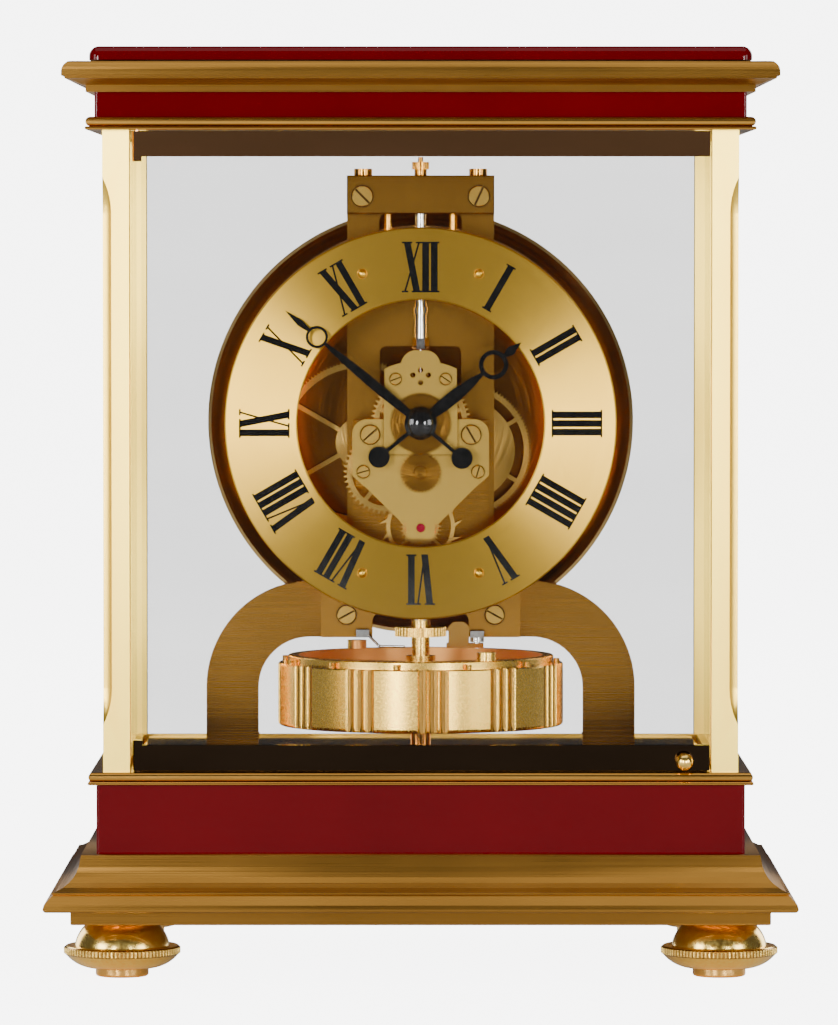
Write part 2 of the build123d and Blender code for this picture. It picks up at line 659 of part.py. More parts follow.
def main_plate():
    """Tall plate with a wide foot on the arch, open behind the dial centre and behind its upper edge."""
    face = Pos(0, (MAIN_PLATE_LOW_Z + HEAD_LOW_Z) / 2) * Rectangle(
        2 * MAIN_PLATE_HALF, HEAD_LOW_Z - MAIN_PLATE_LOW_Z)
    face += Pos(0, (MAIN_PLATE_LOW_Z + BEAM_TOP_Z) / 2) * Rectangle(
        2 * MAIN_PLATE_FOOT_HALF, BEAM_TOP_Z - MAIN_PLATE_LOW_Z)
    notch = RectangleRounded(2 * NOTCH_HALF, 2 * (NOTCH_TOP_Z - MAIN_PLATE_LOW_Z), 2.5)
    face -= Pos(0, MAIN_PLATE_LOW_Z) * notch
    face -= Pos(0, 216.5) * RectangleRounded(25.6, 26.8, 2.2)
    face -= Pos(0, 180.0) * RectangleRounded(25.2, 17.8, 2.0)
    plate = facing(face, *MAIN_PLATE_Y)
    plate -= pivot_hole(INTERMEDIATE, MAIN_PLATE_Y)
    plate -= pivot_hole(BARREL, MAIN_PLATE_Y, BARREL_ARBOR_RADIUS)
    save("main_plate", plate)


def head_block():
    """Block that the suspension hangs from, with two cylinder-head screws and the knurled top nut."""
    body = block(-MAIN_PLATE_HALF, MAIN_PLATE_HALF, HEAD_FRONT_Y, MAIN_PLATE_Y[1], HEAD_LOW_Z, HEAD_TOP_Z)
    body = chamfer(body.edges().group_by(Axis.Y)[0], 0.3)
    body -= post(0, 0, SUSPENSION_RADIUS, HEAD_LOW_Z - 1, HEAD_TOP_Z + 1)
    for side in (-1, 1):
        body += post(side * HEAD_SCREW_X, 0, 2.8, HEAD_TOP_Z, HEAD_TOP_Z + 2.1)
        body += post(side * HEAD_STUD_X, 0, 1.1, HEAD_LOW_Z - 9, HEAD_LOW_Z)
    nut = turned(((1.9, 0, 1.9), (2.65, 1.9, 4.2), (0.8, 4.2, 5.7)))
    nut = Pos(0, 0, HEAD_TOP_Z) * knurled(nut, 2.75, 0.2, 30, 1.8, 4.3)
    save("head_block", body, nut)


def suspension():
    """Torsion wire in its tube, with a collar and the hexagon nut at its lower end."""
    body = turned((
        (0.2, SUSPENSION_WIRE_Z, SUSPENSION_NUT_Z), (SUSPENSION_RADIUS, SUSPENSION_NUT_Z, HEAD_TOP_Z),
        (2.1, SUSPENSION_COLLAR_Z, SUSPENSION_COLLAR_Z + 2)))
    nut = Pos(0, 0, SUSPENSION_NUT_Z) * extrude(RegularPolygon(2.5, 6), amount=3.4)
    save("suspension", body + nut)


def front_plate_face():
    """Drawing of the lower front plate: shoulders, step and a point with a small tongue."""
    half = outline(
        (0, 166.7), (11.0, 166.7), (16.5, 166.7), ("arc", (19.7, 165.4), (21.0, 162.2)), (21.0, 149.4),
        (16.6, 145.5), (5.5, 134.6), (4.3, 134.6), (4.3, 131.2),
        ("arc", (3.9, 130.4), (3.1, 130.0)), (0, 130.0))
    return half + mirror(half, Plane.YZ)


def dome_bridge_face():
    """Drawing of the upper bridge: straight sides, sloping shoulders and a domed top."""
    half = outline(
        (0, 176.2), (11.1, 176.2), (11.1, 182.2), ("arc", (8.6, 183.3), (6.0, 184.0)),
        ("arc", (4.4, 186.8), (0, 187.7)))
    return half + mirror(half, Plane.YZ)


def barrel_bridge():
    """Rear plate that holds the barrel arbor, with the fixed stub of the winding wheel."""
    face = Pos(-2.6, 157.6) * RectangleRounded(44.0, 16.0, 3.0)
    bridge = facing(face, *BARREL_BRIDGE_Y) - pivot_hole(BARREL, BARREL_BRIDGE_Y, BARREL_ARBOR_RADIUS)
    return bridge + rod(*WINDING, BARREL_ARBOR_RADIUS, PULLEY_Y[0] - 0.8, BARREL_BRIDGE_Y[0])


def movement_plates():
    """Front plate, centre bridge, upper bridge, and the middle, back and barrel plates."""
    front = facing(front_plate_face(), *FRONT_PLATE_Y)
    front -= bore(CENTRE, CENTRE_BORE_RADIUS, FRONT_PLATE_Y)
    front -= pivot_hole(MOTION, FRONT_PLATE_Y, MOTION_ARBOR_RADIUS)
    front -= pivot_hole(ESCAPE, FRONT_PLATE_Y)
    bridge_face = Pos(0, 166.1) * Rectangle(22.6, 20.2)
    bridge = facing(bridge_face, *CENTRE_BRIDGE_Y) - bore(CENTRE, BRIDGE_BORE_RADIUS, CENTRE_BRIDGE_Y)
    save("front_plate", front)
    dome = facing(dome_bridge_face(), CENTRE_BRIDGE_Y[0], FRONT_PLATE_Y[1])
    for x, z in ((-2.4, 180.3), (2.4, 180.3), (0, 181.8), (0, 178.0)):
        dome -= bore((x, z), 0.8, (CENTRE_BRIDGE_Y[0], FRONT_PLATE_Y[1]))
    save("upper_bridges", bridge, dome)
    middle_face = Pos(0, 156.0) * Rectangle(40.0, 20.0)
    middle = facing(middle_face, *MIDDLE_PLATE_Y)
    for centre, radius in ((CENTRE, ARBOR_RADIUS), (INTERMEDIATE, ARBOR_RADIUS),
                           (THIRD, ARBOR_RADIUS), (MOTION, MOTION_ARBOR_RADIUS)):
        middle -= pivot_hole(centre, MIDDLE_PLATE_Y, radius)
    back_face = Pos(0, 138.0) * Rectangle(42.0, 56.0) + Pos(0, 168.0) * Rectangle(16.0, 8.0)
    back = facing(back_face, *BACK_PLATE_Y)
    for centre in (CENTRE, INTERMEDIATE, THIRD, ESCAPE, ANCHOR):
        back -= pivot_hole(centre, BACK_PLATE_Y)
    for side in (-1, 1):
        back -= rod(side * DIAL_POST_X, DIAL_Z - DIAL_POST_Z, DIAL_STEM_RADIUS, *BACK_PLATE_Y)
    save("train_plates", middle, back, barrel_bridge())


def pillars():
    """Turned pillars that hold the plates apart."""
    bars = []
    for places, radius, y_front, y_back in (
            (FRONT_PILLARS, 1.8, FRONT_PLATE_Y[1], MIDDLE_PLATE_Y[0]),
            (TRAIN_PILLARS, 1.0, MIDDLE_PLATE_Y[1], BACK_PLATE_Y[0]),
            (MAIN_PILLARS, 2.0, BACK_PLATE_Y[1], MAIN_PLATE_Y[0]),
            (BRIDGE_PILLARS, 1.2, FRONT_PLATE_Y[1], MIDDLE_PLATE_Y[0])):
        for x, z in places:
            bars.append(rod(x, z, radius, y_front, y_back))
    save("pillars", *bars)


def plate_screws():
    """Slotted screws of the bracket, head block and front plates."""
    screws = []
    for x, z, radius, y_face, slot_deg, head in (
            (-18.0, 235.3, 3.15, HEAD_FRONT_Y, -45, 1.0), (18.0, 235.3, 3.15, HEAD_FRONT_Y, 65, 1.0),
            (-23.0, 105.5, 2.9, MAIN_PLATE_Y[0], 30, 1.0), (23.0, 105.5, 2.9, MAIN_PLATE_Y[0], -30, 1.0),
            (-15.5, 162.0, 2.9, FRONT_PLATE_Y[0], 40, 1.0), (15.5, 162.0, 2.9, FRONT_PLATE_Y[0], -60, 1.0),
            (-17.6, 150.6, 1.9, FRONT_PLATE_Y[0], 15, 0.8), (17.6, 150.6, 1.9, FRONT_PLATE_Y[0], 75, 0.8),
            (-7.7, 179.1, 1.75, CENTRE_BRIDGE_Y[0], 20, 0.7),
            (7.7, 179.1, 1.75, CENTRE_BRIDGE_Y[0], -35, 0.7)):
        screws.append(slot_screw(x, z, radius, y_face, slot_deg, head))
    save("plate_screws", *screws)


def jewel():
    """Ruby bearing of the escape wheel in the tongue of the front plate."""
    ring = rod(*ESCAPE, 1.3, FRONT_PLATE_Y[0] - 0.3, FRONT_PLATE_Y[0])
    save("escape_jewel", ring)


# ---------------------------------------------------------------- dial and hands

def dial():
    """Chapter ring, its numerals and the four posts that carry it."""
    ring = Circle(DIAL_OUTER) - Circle(DIAL_INNER)
    plate = facing(Pos(0, DIAL_Z) * ring, DIAL_FRONT_Y, DIAL_FRONT_Y + DIAL_THICK)
    plate = chamfer(plate.edges().group_by(Axis.Y)[0], 0.4)
    save("dial_ring", plate)
    dial_posts = []
    for side_x in (-1, 1):
        for side_z in (-1, 1):
            x = side_x * DIAL_POST_X
            z = DIAL_Z + side_z * DIAL_POST_Z
            stem = rod(x, z, DIAL_STEM_RADIUS, DIAL_FRONT_Y + DIAL_THICK, MAIN_PLATE_Y[0])
            dome = Pos(x, DIAL_FRONT_Y, z) * (Sphere(DIAL_POST_RADIUS) & Pos(0, -2, 0) * Box(4, 4, 4))
            dial_posts.extend([stem, dome])
    save("dial_posts", *dial_posts)
    save("dial_numerals", *numerals())


THICK_STROKE = 2.05
THIN_STROKE = 0.55
SERIF_HEIGHT = 0.5
LETTER_OVERLAP = 0.5
LETTER_I_MARGIN = 1.1
LETTER_WIDTH = 6.2          # of a V or an X
NUMERALS = ("XII", "I", "II", "III", "IIII", "V", "VI", "VII", "VIII", "IX", "X", "XI")


def slanted_bar(x_foot, x_head, width, height):
    """A stroke between foot and head, measured at its middle."""
    half = width / 2
    points = ((x_foot - half, 0), (x_foot + half, 0), (x_head + half, height), (x_head - half, height))
    return make_face(Polyline(*points, close=True))


def serif(x_low, x_high, z):
    """Thin bar across the end of a stroke."""
    return Pos((x_low + x_high) / 2, z) * Rectangle(x_high - x_low, SERIF_HEIGHT)


def letter(name, height):
    """One letter as a face that starts at x = 0, and its width."""
    low = SERIF_HEIGHT / 2
    high = height - SERIF_HEIGHT / 2
    if name == "I":
        width = THICK_STROKE + LETTER_I_MARGIN
        face = slanted_bar(width / 2, width / 2, THICK_STROKE, height)
        return face + serif(0, width, low) + serif(0, width, high), width
    if name == "V":
        width = LETTER_WIDTH
        face = slanted_bar(width / 2 + 0.1, 1.6, THICK_STROKE, height)
        face += slanted_bar(width / 2 + 0.1, width - 0.9, THIN_STROKE, height)
        return face + serif(0, 3.2, high) + serif(width - 1.9, width, high), width
    width = LETTER_WIDTH
    face = slanted_bar(width - 1.6, 1.6, THICK_STROKE, height)
    face += slanted_bar(0.9, width - 0.9, THIN_STROKE, height)
    face += serif(0, 3.2, high) + serif(width - 1.9, width, high)
    return face + serif(0, 1.9, low) + serif(width - 3.2, width, low), width


def numerals():
    """Roman numerals that stand with their feet towards the centre."""
    height = NUMERAL_OUTER - NUMERAL_INNER
    solids = []
    for hour, text in enumerate(NUMERALS):
        letters = [letter(name, height) for name in text]
        total = sum(width for _, width in letters) - LETTER_OVERLAP * (len(letters) - 1)
        x = -total / 2
        group = Sketch()
        for face, width in letters:
            group += Pos(x, NUMERAL_INNER) * face
            x += width - LETTER_OVERLAP
        turned = Pos(0, DIAL_Z) * Rot(0, 0, -360 / len(NUMERALS) * hour) * group
        solids.append(facing(turned, DIAL_FRONT_Y - NUMERAL_THICK, DIAL_FRONT_Y))
    return solids


def leaf(base_r, belly_r, end_r, base_half, belly_half, end_half):
    """Slim leaf-shaped blade along +Z, widest at its belly."""
    return outline(
        (-base_half, base_r), ("arc", (-belly_half, belly_r), (-end_half, end_r)), (end_half, end_r),
        ("arc", (belly_half, belly_r), (base_half, base_r)))


def hand_face(ring_r, ring_outer, ring_inner, tip_r, belly_r, belly_half, spear_half, tail_r):
    """A hand that points along +Z: hub, leaf, ring, spear, and a tail that ends in a disc."""
    face = Circle(HAND_HUB_RADIUS)
    face += leaf(1.0, belly_r, ring_r - ring_outer + 0.4, 0.8, belly_half, 0.45)
    face += Pos(0, ring_r) * Circle(ring_outer)
    spear_base = ring_r + ring_outer - 0.3
    spear_wide = spear_base + (tip_r - spear_base) * 0.4
    face += make_face(Polyline(
        (-0.5, spear_base), (-spear_half, spear_wide), (0, tip_r),
        (spear_half, spear_wide), (0.5, spear_base), close=True))
    face += Pos(0, -tail_r / 2) * Rectangle(1.1, tail_r)
    face += Pos(0, -tail_r) * Circle(HAND_TAIL_RADIUS)
    return face - Pos(0, ring_r) * Circle(ring_inner)


def hands():
    """Black hands with ring and spear, and the domed cap over them."""
    hour = hand_face(28.7, 4.5, 3.15, 39.6, 14.0, 1.95, 1.5, 16.4) - Circle(HOUR_PIPE_RADIUS)
    minute = hand_face(41.4, 3.4, 2.6, 54.0, 18.0, 1.5, 1.05, 16.5) - Circle(MINUTE_PIPE_RADIUS)
    hour = Pos(*CENTRE) * Rot(0, 0, -HOUR_ANGLE) * hour
    minute = Pos(*CENTRE) * Rot(0, 0, -MINUTE_ANGLE) * minute
    save("hour_hand", facing(hour, HOUR_HAND_Y, HOUR_HAND_Y + HAND_THICK))
    save("minute_hand", facing(minute, MINUTE_HAND_Y, MINUTE_HAND_Y + HAND_THICK))
    sphere_r = (CAP_RADIUS ** 2 + CAP_HEIGHT ** 2) / (2 * CAP_HEIGHT)
    dome = Pos(0, MINUTE_HAND_Y - CAP_HEIGHT + sphere_r, DIAL_Z) * Sphere(sphere_r)
    cap = dome & Pos(0, MINUTE_HAND_Y - 5, DIAL_Z) * Box(20, 10, 20)
    save("hand_cap", cap)


# ---------------------------------------------------------------- wheel work

MOTION_Y = -16.4
HOUR_WHEEL_Y = -20.6
CENTRE_PINION_Y = -12.4
CENTRE_WHEEL_Y = -10.2
THIRD_WHEEL_Y = -8.0
ESCAPE_WHEEL_Y = -5.6
BARREL_WHEEL_Y = 6.4
WINDING_WHEEL_Y = 13.9
DRUM_RADIUS = 15.0
DRUM_BACK_Y = 13.0
SPRING_Y = (8.4, 11.8)
GREAT_WHEEL_THICK = 1.4
PULLEY_Y = (10.6, 13.0)
PULLEY_RADIUS = 8.0
MINUTE_PIPE_RADIUS = 0.9
CANNON_PIPE_RADIUS = 1.2
HOUR_PIPE_RADIUS = 1.7


def centre_arbor():
    """Minute arbor: pinion and wheel between the plates, cannon pinion and pipe in front."""
    drive = module_of(CENTRE, INTERMEDIATE, CENTRE_PINION_TEETH, INTERMEDIATE_WHEEL_TEETH)
    train = module_of(CENTRE, THIRD, CENTRE_WHEEL_TEETH, THIRD_PINION_TEETH)
    motion = module_of(CENTRE, MOTION, CANNON_TEETH, MOTION_WHEEL_TEETH)
    body = arbor(CENTRE, MOTION_Y, BACK_PLATE_Y[1])
    body += wheel(CENTRE, CENTRE_PINION_TEETH, drive, heading(CENTRE, INTERMEDIATE), CENTRE_PINION_Y)
    body += wheel(CENTRE, CENTRE_WHEEL_TEETH, train, heading(CENTRE, THIRD), CENTRE_WHEEL_Y, spokes=5,
                  hub=3.5, rim=1.6)
    body += wheel(CENTRE, CANNON_TEETH, motion, heading(CENTRE, MOTION), MOTION_Y)
    body += rod(*CENTRE, MINUTE_PIPE_RADIUS, MINUTE_HAND_Y, MOTION_Y + WHEEL_THICK)
    save("centre_arbor", body)


def hour_wheel():
    """Hour wheel with its pipe, which carries the hour hand and turns on the cannon pipe."""
    module = module_of(CENTRE, MOTION, HOUR_TEETH, MOTION_PINION_TEETH)
    body = wheel(CENTRE, HOUR_TEETH, module, heading(CENTRE, MOTION), HOUR_WHEEL_Y)
    body += rod(*CENTRE, 2.4, HOUR_WHEEL_Y - 1.0, HOUR_WHEEL_Y + 1.3)
    body += rod(*CENTRE, HOUR_PIPE_RADIUS, HOUR_HAND_Y, HOUR_WHEEL_Y)
    save("hour_wheel", body - bore(CENTRE, CANNON_PIPE_RADIUS, (HOUR_HAND_Y, MOTION_Y)))


def minute_wheel():
    """Reduction between the cannon pinion and the hour wheel, with a slotted screw in its end."""
    low = module_of(CENTRE, MOTION, CANNON_TEETH, MOTION_WHEEL_TEETH)
    high = module_of(CENTRE, MOTION, HOUR_TEETH, MOTION_PINION_TEETH)
    gap_low = 180 / MOTION_WHEEL_TEETH
    gap_high = 180 / MOTION_PINION_TEETH
    body = wheel(MOTION, MOTION_WHEEL_TEETH, low, heading(MOTION, CENTRE) + gap_low, MOTION_Y)
    body += wheel(MOTION, MOTION_PINION_TEETH, high, heading(MOTION, CENTRE) + gap_high, HOUR_WHEEL_Y)
    body += rod(*MOTION, MOTION_ARBOR_RADIUS, HOUR_WHEEL_Y, MIDDLE_PLATE_Y[1])
    body += slot_screw(*MOTION, 2.1, HOUR_WHEEL_Y, 25, 0.7)
    save("minute_wheel", body)


def intermediate_wheel():
    """Carries the barrel's drive through the main plate to the centre pinion."""
    low = module_of(BARREL, INTERMEDIATE, BARREL_TEETH, INTERMEDIATE_PINION_TEETH)
    high = module_of(CENTRE, INTERMEDIATE, CENTRE_PINION_TEETH, INTERMEDIATE_WHEEL_TEETH)
    gap_low = 180 / INTERMEDIATE_PINION_TEETH
    gap_high = 180 / INTERMEDIATE_WHEEL_TEETH
    body = wheel(INTERMEDIATE, INTERMEDIATE_WHEEL_TEETH, high, heading(INTERMEDIATE, CENTRE) + gap_high,
                 CENTRE_PINION_Y, spokes=5, hub=2.5, rim=1.6)
    body += wheel(INTERMEDIATE, INTERMEDIATE_PINION_TEETH, low, heading(INTERMEDIATE, BARREL) + gap_low,
                  BARREL_WHEEL_Y)
    save("intermediate_wheel", body + arbor(INTERMEDIATE, MIDDLE_PLATE_Y[0], BARREL_WHEEL_Y + 2))


def third_wheel():
    """Third wheel with its pinion."""
    low = module_of(CENTRE, THIRD, CENTRE_WHEEL_TEETH, THIRD_PINION_TEETH)
    high = module_of(THIRD, ESCAPE, THIRD_WHEEL_TEETH, ESCAPE_PINION_TEETH)
    gap = 180 / THIRD_PINION_TEETH
    body = wheel(THIRD, THIRD_PINION_TEETH, low, heading(THIRD, CENTRE) + gap, CENTRE_WHEEL_Y)
    body += wheel(THIRD, THIRD_WHEEL_TEETH, high, heading(THIRD, ESCAPE), THIRD_WHEEL_Y, spokes=4,
                  hub=2.0, rim=1.2)
    save("third_wheel", body + arbor(THIRD, MIDDLE_PLATE_Y[0], BACK_PLATE_Y[1]))


def escape_wheel():
    """Fifteen pointed teeth on a slim rim with four arms, and its pinion."""
    module = module_of(THIRD, ESCAPE, THIRD_WHEEL_TEETH, ESCAPE_PINION_TEETH)
    rim_outer = ESCAPE_RADIUS - 2.4
    rim_inner = rim_outer - 1.2
    face = Circle(rim_outer) - Circle(rim_inner) + Circle(2.0)
    for arm in range(4):
        face += Rot(0, 0, 45 + 90 * arm) * Pos(rim_outer / 2, 0) * Rectangle(rim_outer, 0.9)
    lean = 5.0
    for tooth in range(ESCAPE_TEETH):
        angle = tooth * 360 / ESCAPE_TEETH
        base = rim_outer - 0.3
        points = [(base * cos(radians(turn)), base * sin(radians(turn))) for turn in (-3, 5)]
        tip_angle = radians(lean + 4)
        tip = (ESCAPE_RADIUS * cos(tip_angle), ESCAPE_RADIUS * sin(tip_angle))
        face += Rot(0, 0, angle) * make_face(Polyline(points[0], points[1], tip, close=True))
    body = facing(Pos(*ESCAPE) * face, ESCAPE_WHEEL_Y, ESCAPE_WHEEL_Y + 0.8)
    gap = 180 / ESCAPE_PINION_TEETH
    body += wheel(ESCAPE, ESCAPE_PINION_TEETH, module, heading(ESCAPE, THIRD) + gap, THIRD_WHEEL_Y)
    save("escape_wheel", body + arbor(ESCAPE, FRONT_PLATE_Y[0], BACK_PLATE_Y[1]))


PALLET_SPAN_DEG = 42.0
PALLET_GAP = 0.9


def anchor():
    """Anchor with two pallets clear of the escape wheel, and a fork down to the balance roller."""
    reach = ESCAPE_RADIUS + PALLET_GAP
    face = Circle(2.2)
    for side in (-1, 1):
        turn = radians(-90 + side * PALLET_SPAN_DEG)
        tip = (reach * cos(turn), ESCAPE[1] - ANCHOR[1] + reach * sin(turn))
        out = (tip[0] + side * 1.6, tip[1] + 0.6)
        low = (side * 3.0, -1.6)
        face += make_face(Polyline((0, 1.4), tip, out, low, (0, -1.4), close=True))
    face += Pos(0, -5.5) * Rectangle(1.4, 9.0)
    for side in (-1, 1):
        face += Pos(side * 1.2, -10.2) * Rectangle(0.8, 2.4)
    face += Pos(0, -9.2) * Rectangle(3.2, 0.9)
    body = facing(Pos(*ANCHOR) * face, ESCAPE_WHEEL_Y, ESCAPE_WHEEL_Y + 0.8)
    save("anchor", body + arbor(ANCHOR, ESCAPE_WHEEL_Y - 1.5, BACK_PLATE_Y[1]))


def barrel():
    """Great wheel with the drum of the mainspring behind it."""
    module = module_of(BARREL, INTERMEDIATE, BARREL_TEETH, INTERMEDIATE_PINION_TEETH)
    body = wheel(BARREL, BARREL_TEETH, module, heading(BARREL, INTERMEDIATE), BARREL_WHEEL_Y,
                 GREAT_WHEEL_THICK, spokes=6, hub=DRUM_RADIUS + 1.0, rim=1.6)
    drum = rod(*BARREL, DRUM_RADIUS, BARREL_WHEEL_Y + GREAT_WHEEL_THICK, DRUM_BACK_Y)
    drum -= rod(*BARREL, DRUM_RADIUS - 1.0, SPRING_Y[0] - 0.4, SPRING_Y[1] + 0.4)
    body = body + drum - pivot_hole(BARREL, (BARREL_WHEEL_Y, DRUM_BACK_Y), BARREL_ARBOR_RADIUS)
    save("barrel", body)


def mainspring():
    """Spiral spring inside the drum."""
    turns = 6.5
    inner = 4.0
    outer = 13.6
    thick = 0.35
    steps = 26
    count = int(turns * steps)
    outside = []
    inside = []
    for step in range(count + 1):
        angle = 2 * pi * step / steps
        radius = inner + (outer - inner) * step / count
        outside.append((radius * cos(angle), radius * sin(angle)))
        inside.append(((radius - thick) * cos(angle), (radius - thick) * sin(angle)))
    face = make_face(Polyline(*(outside + inside[::-1]), close=True))
    save("mainspring", facing(Pos(*BARREL) * face, *SPRING_Y))


def winding_work():
    """Barrel arbor and its pinion, the big winding wheel, and the chain pulley behind it."""
    module = module_of(BARREL, WINDING, BARREL_ARBOR_TEETH, WINDING_TEETH)
    shaft = rod(*BARREL, BARREL_ARBOR_RADIUS, MAIN_PLATE_Y[0], BARREL_BRIDGE_Y[1])
    shaft += wheel(BARREL, BARREL_ARBOR_TEETH, module, heading(BARREL, WINDING), WINDING_WHEEL_Y)
    save("barrel_arbor", shaft)
    gap = 180 / WINDING_TEETH
    body = wheel(WINDING, WINDING_TEETH, module, heading(WINDING, BARREL) + gap, WINDING_WHEEL_Y, spokes=6,
                 hub=4.0, rim=1.8)
    wheel_y = (WINDING_WHEEL_Y, WINDING_WHEEL_Y + WHEEL_THICK)
    save("winding_wheel", body - pivot_hole(WINDING, wheel_y, BARREL_ARBOR_RADIUS))
    pulley = rod(*WINDING, PULLEY_RADIUS, *PULLEY_Y)
    groove_y = (PULLEY_Y[0] + 0.8, PULLEY_Y[1] - 0.8)
    groove = rod(*WINDING, PULLEY_RADIUS + 1.0, *groove_y) - rod(*WINDING, PULLEY_RADIUS - 1.0, *PULLEY_Y)
    save("winding_pulley", pulley - groove - pivot_hole(WINDING, PULLEY_Y, BARREL_ARBOR_RADIUS))


# ---------------------------------------------------------------- bellows

def bellows_housing():
    """Big gilt drum: dished front with a bright rim and a polished hollow band, open inside."""
    outer = HOUSING_RADIUS
    band = outer - 1.0 - HOUSING_BAND
    wall = HOUSING_WALL
    face = outline(
        (0, HOUSING_DISH_Y), (band - 1.0, HOUSING_DISH_Y),
        ("arc", (band + 0.4, HOUSING_DISH_Y - 2.2), (outer - 1.0, HOUSING_FRONT_Y)), (outer, HOUSING_FRONT_Y),
        (outer, HOUSING_BACK_Y - 3.0),
        ("arc", (outer - 0.9, HOUSING_BACK_Y - 0.9), (outer - 3.0, HOUSING_BACK_Y)),
        (0, HOUSING_BACK_Y), (0, HOUSING_BACK_Y - wall), (outer - 3.0, HOUSING_BACK_Y - wall),
        (outer - wall, HOUSING_BACK_Y - 3.0), (outer - wall, HOUSING_DISH_Y + 2.0),
        (band, HOUSING_DISH_Y + wall), (0, HOUSING_DISH_Y + wall))
    drum = revolve(face, Axis.Y)
    save("bellows_housing", Pos(0, 0, DIAL_Z) * drum)


def bellows():
    """Folded metal bellows that the expanding gas pushes forward, and its pressure plate."""
    back = HOUSING_BACK_Y - HOUSING_WALL
    fold = (back - BELLOWS_FRONT_Y) / BELLOWS_FOLDS
    outside = []
    for index in range(BELLOWS_FOLDS):
        y = BELLOWS_FRONT_Y + index * fold
        outside.append((BELLOWS_INNER, y))
        outside.append((BELLOWS_OUTER, y + fold / 2))
    outside.append((BELLOWS_INNER, back))
    inside = [(x - 2 * BELLOWS_WALL, y) for x, y in reversed(outside)]
    shell = revolve(make_face(Polyline(*(outside + inside), close=True)), Axis.Y)
    save("bellows", Pos(0, 0, DIAL_Z) * shell)
    plate = rod(0, DIAL_Z, BELLOWS_OUTER - 2, BELLOWS_FRONT_Y - 2.0, BELLOWS_FRONT_Y)
    boss = rod(0, DIAL_Z, 10.0, BELLOWS_FRONT_Y - 4.5, BELLOWS_FRONT_Y - 2.0)
    save("bellows_plate", plate + boss)


# ---------------------------------------------------------------- balance and lock

def balance_ring():
    """Heavy fluted ring with a raised inner lip."""
    face = outline(
        (BALANCE_INNER, BALANCE_LOW_Z), (BALANCE_OUTER - 1.2, BALANCE_LOW_Z),
        ("arc", (BALANCE_OUTER - 0.35, BALANCE_LOW_Z + 0.35), (BALANCE_OUTER, BALANCE_LOW_Z + 1.2)),
        (BALANCE_OUTER, BALANCE_RIM_Z - 0.4), (BALANCE_OUTER - 0.4, BALANCE_RIM_Z),
        (BALANCE_LIP_OUTER, BALANCE_RIM_Z), (BALANCE_LIP_OUTER, BALANCE_LIP_Z - 0.3),
        (BALANCE_LIP_OUTER - 0.3, BALANCE_LIP_Z), (BALANCE_INNER, BALANCE_LIP_Z))
    ring = revolve(Plane.XZ * face, Axis.Z)
    centre = BALANCE_OUTER + BALANCE_FLUTE_RADIUS - BALANCE_FLUTE_DEPTH
    cutter = post(centre, 0, BALANCE_FLUTE_RADIUS, BALANCE_LOW_Z - 1, BALANCE_RIM_Z + 1)
    cutters = []
    for group in range(FLUTE_GROUPS):
        for flute in range(FLUTES_IN_GROUP):
            offset = (flute - (FLUTES_IN_GROUP - 1) / 2) * FLUTE_PITCH_DEG
            turn = -90 + FLUTE_GROUP_PHASE + group * 360 / FLUTE_GROUPS + offset
            cutters.append(Rot(0, 0, turn) * cutter)
    save("balance_ring", ring - cutters)


def balance_hub():
    """Spokes, hub, stem and the rollers that the anchor's fork works on."""
    spokes = post(0, 0, HUB_RADIUS, *SPOKE_Z)
    for arm in range(SPOKES):
        bar = block(0, BALANCE_INNER, -SPOKE_WIDTH / 2, SPOKE_WIDTH / 2, *SPOKE_Z)
        spokes += Rot(0, 0, 30 + arm * 360 / SPOKES) * bar
    save("balance_spokes", spokes & post(0, 0, BALANCE_INNER, *SPOKE_Z))
    stem = turned((
        (1.2, BALANCE_PIN_Z, BALANCE_LOW_Z + 6), (4.0, BALANCE_LOW_Z + 6, SPOKE_Z[0]),
        (4.65, SPOKE_Z[1], 93.0), (2.8, 93.0, ROLLER_Z[0]), (8.0, *ROLLER_Z),
        (3.0, ROLLER_Z[1], 104.2), (1.4, 104.2, SUSPENSION_WIRE_Z)))
    save("balance_stem", knurled(stem, 8.15, 0.4, 40, ROLLER_Z[0] - 1, ROLLER_Z[1]))


def balance_screws():
    """Small studs on the ring and two larger knurled regulating screws."""
    studs = []
    radius = (BALANCE_OUTER + BALANCE_LIP_OUTER) / 2
    for index in range(FLUTE_GROUPS):
        angle = radians(20 + index * 360 / FLUTE_GROUPS)
        studs.append(post(radius * cos(angle), radius * sin(angle), 0.9, BALANCE_RIM_Z, BALANCE_RIM_Z + 1.6))
    for x, y in ((20.0, -33.4), (-20.0, 33.4)):
        studs.append(post(x, y, 3.0, BALANCE_LIP_Z, BALANCE_LIP_Z + 2.6))
    save("balance_screws", *studs)


LOCK_PIVOT = (17.5, 0.0)


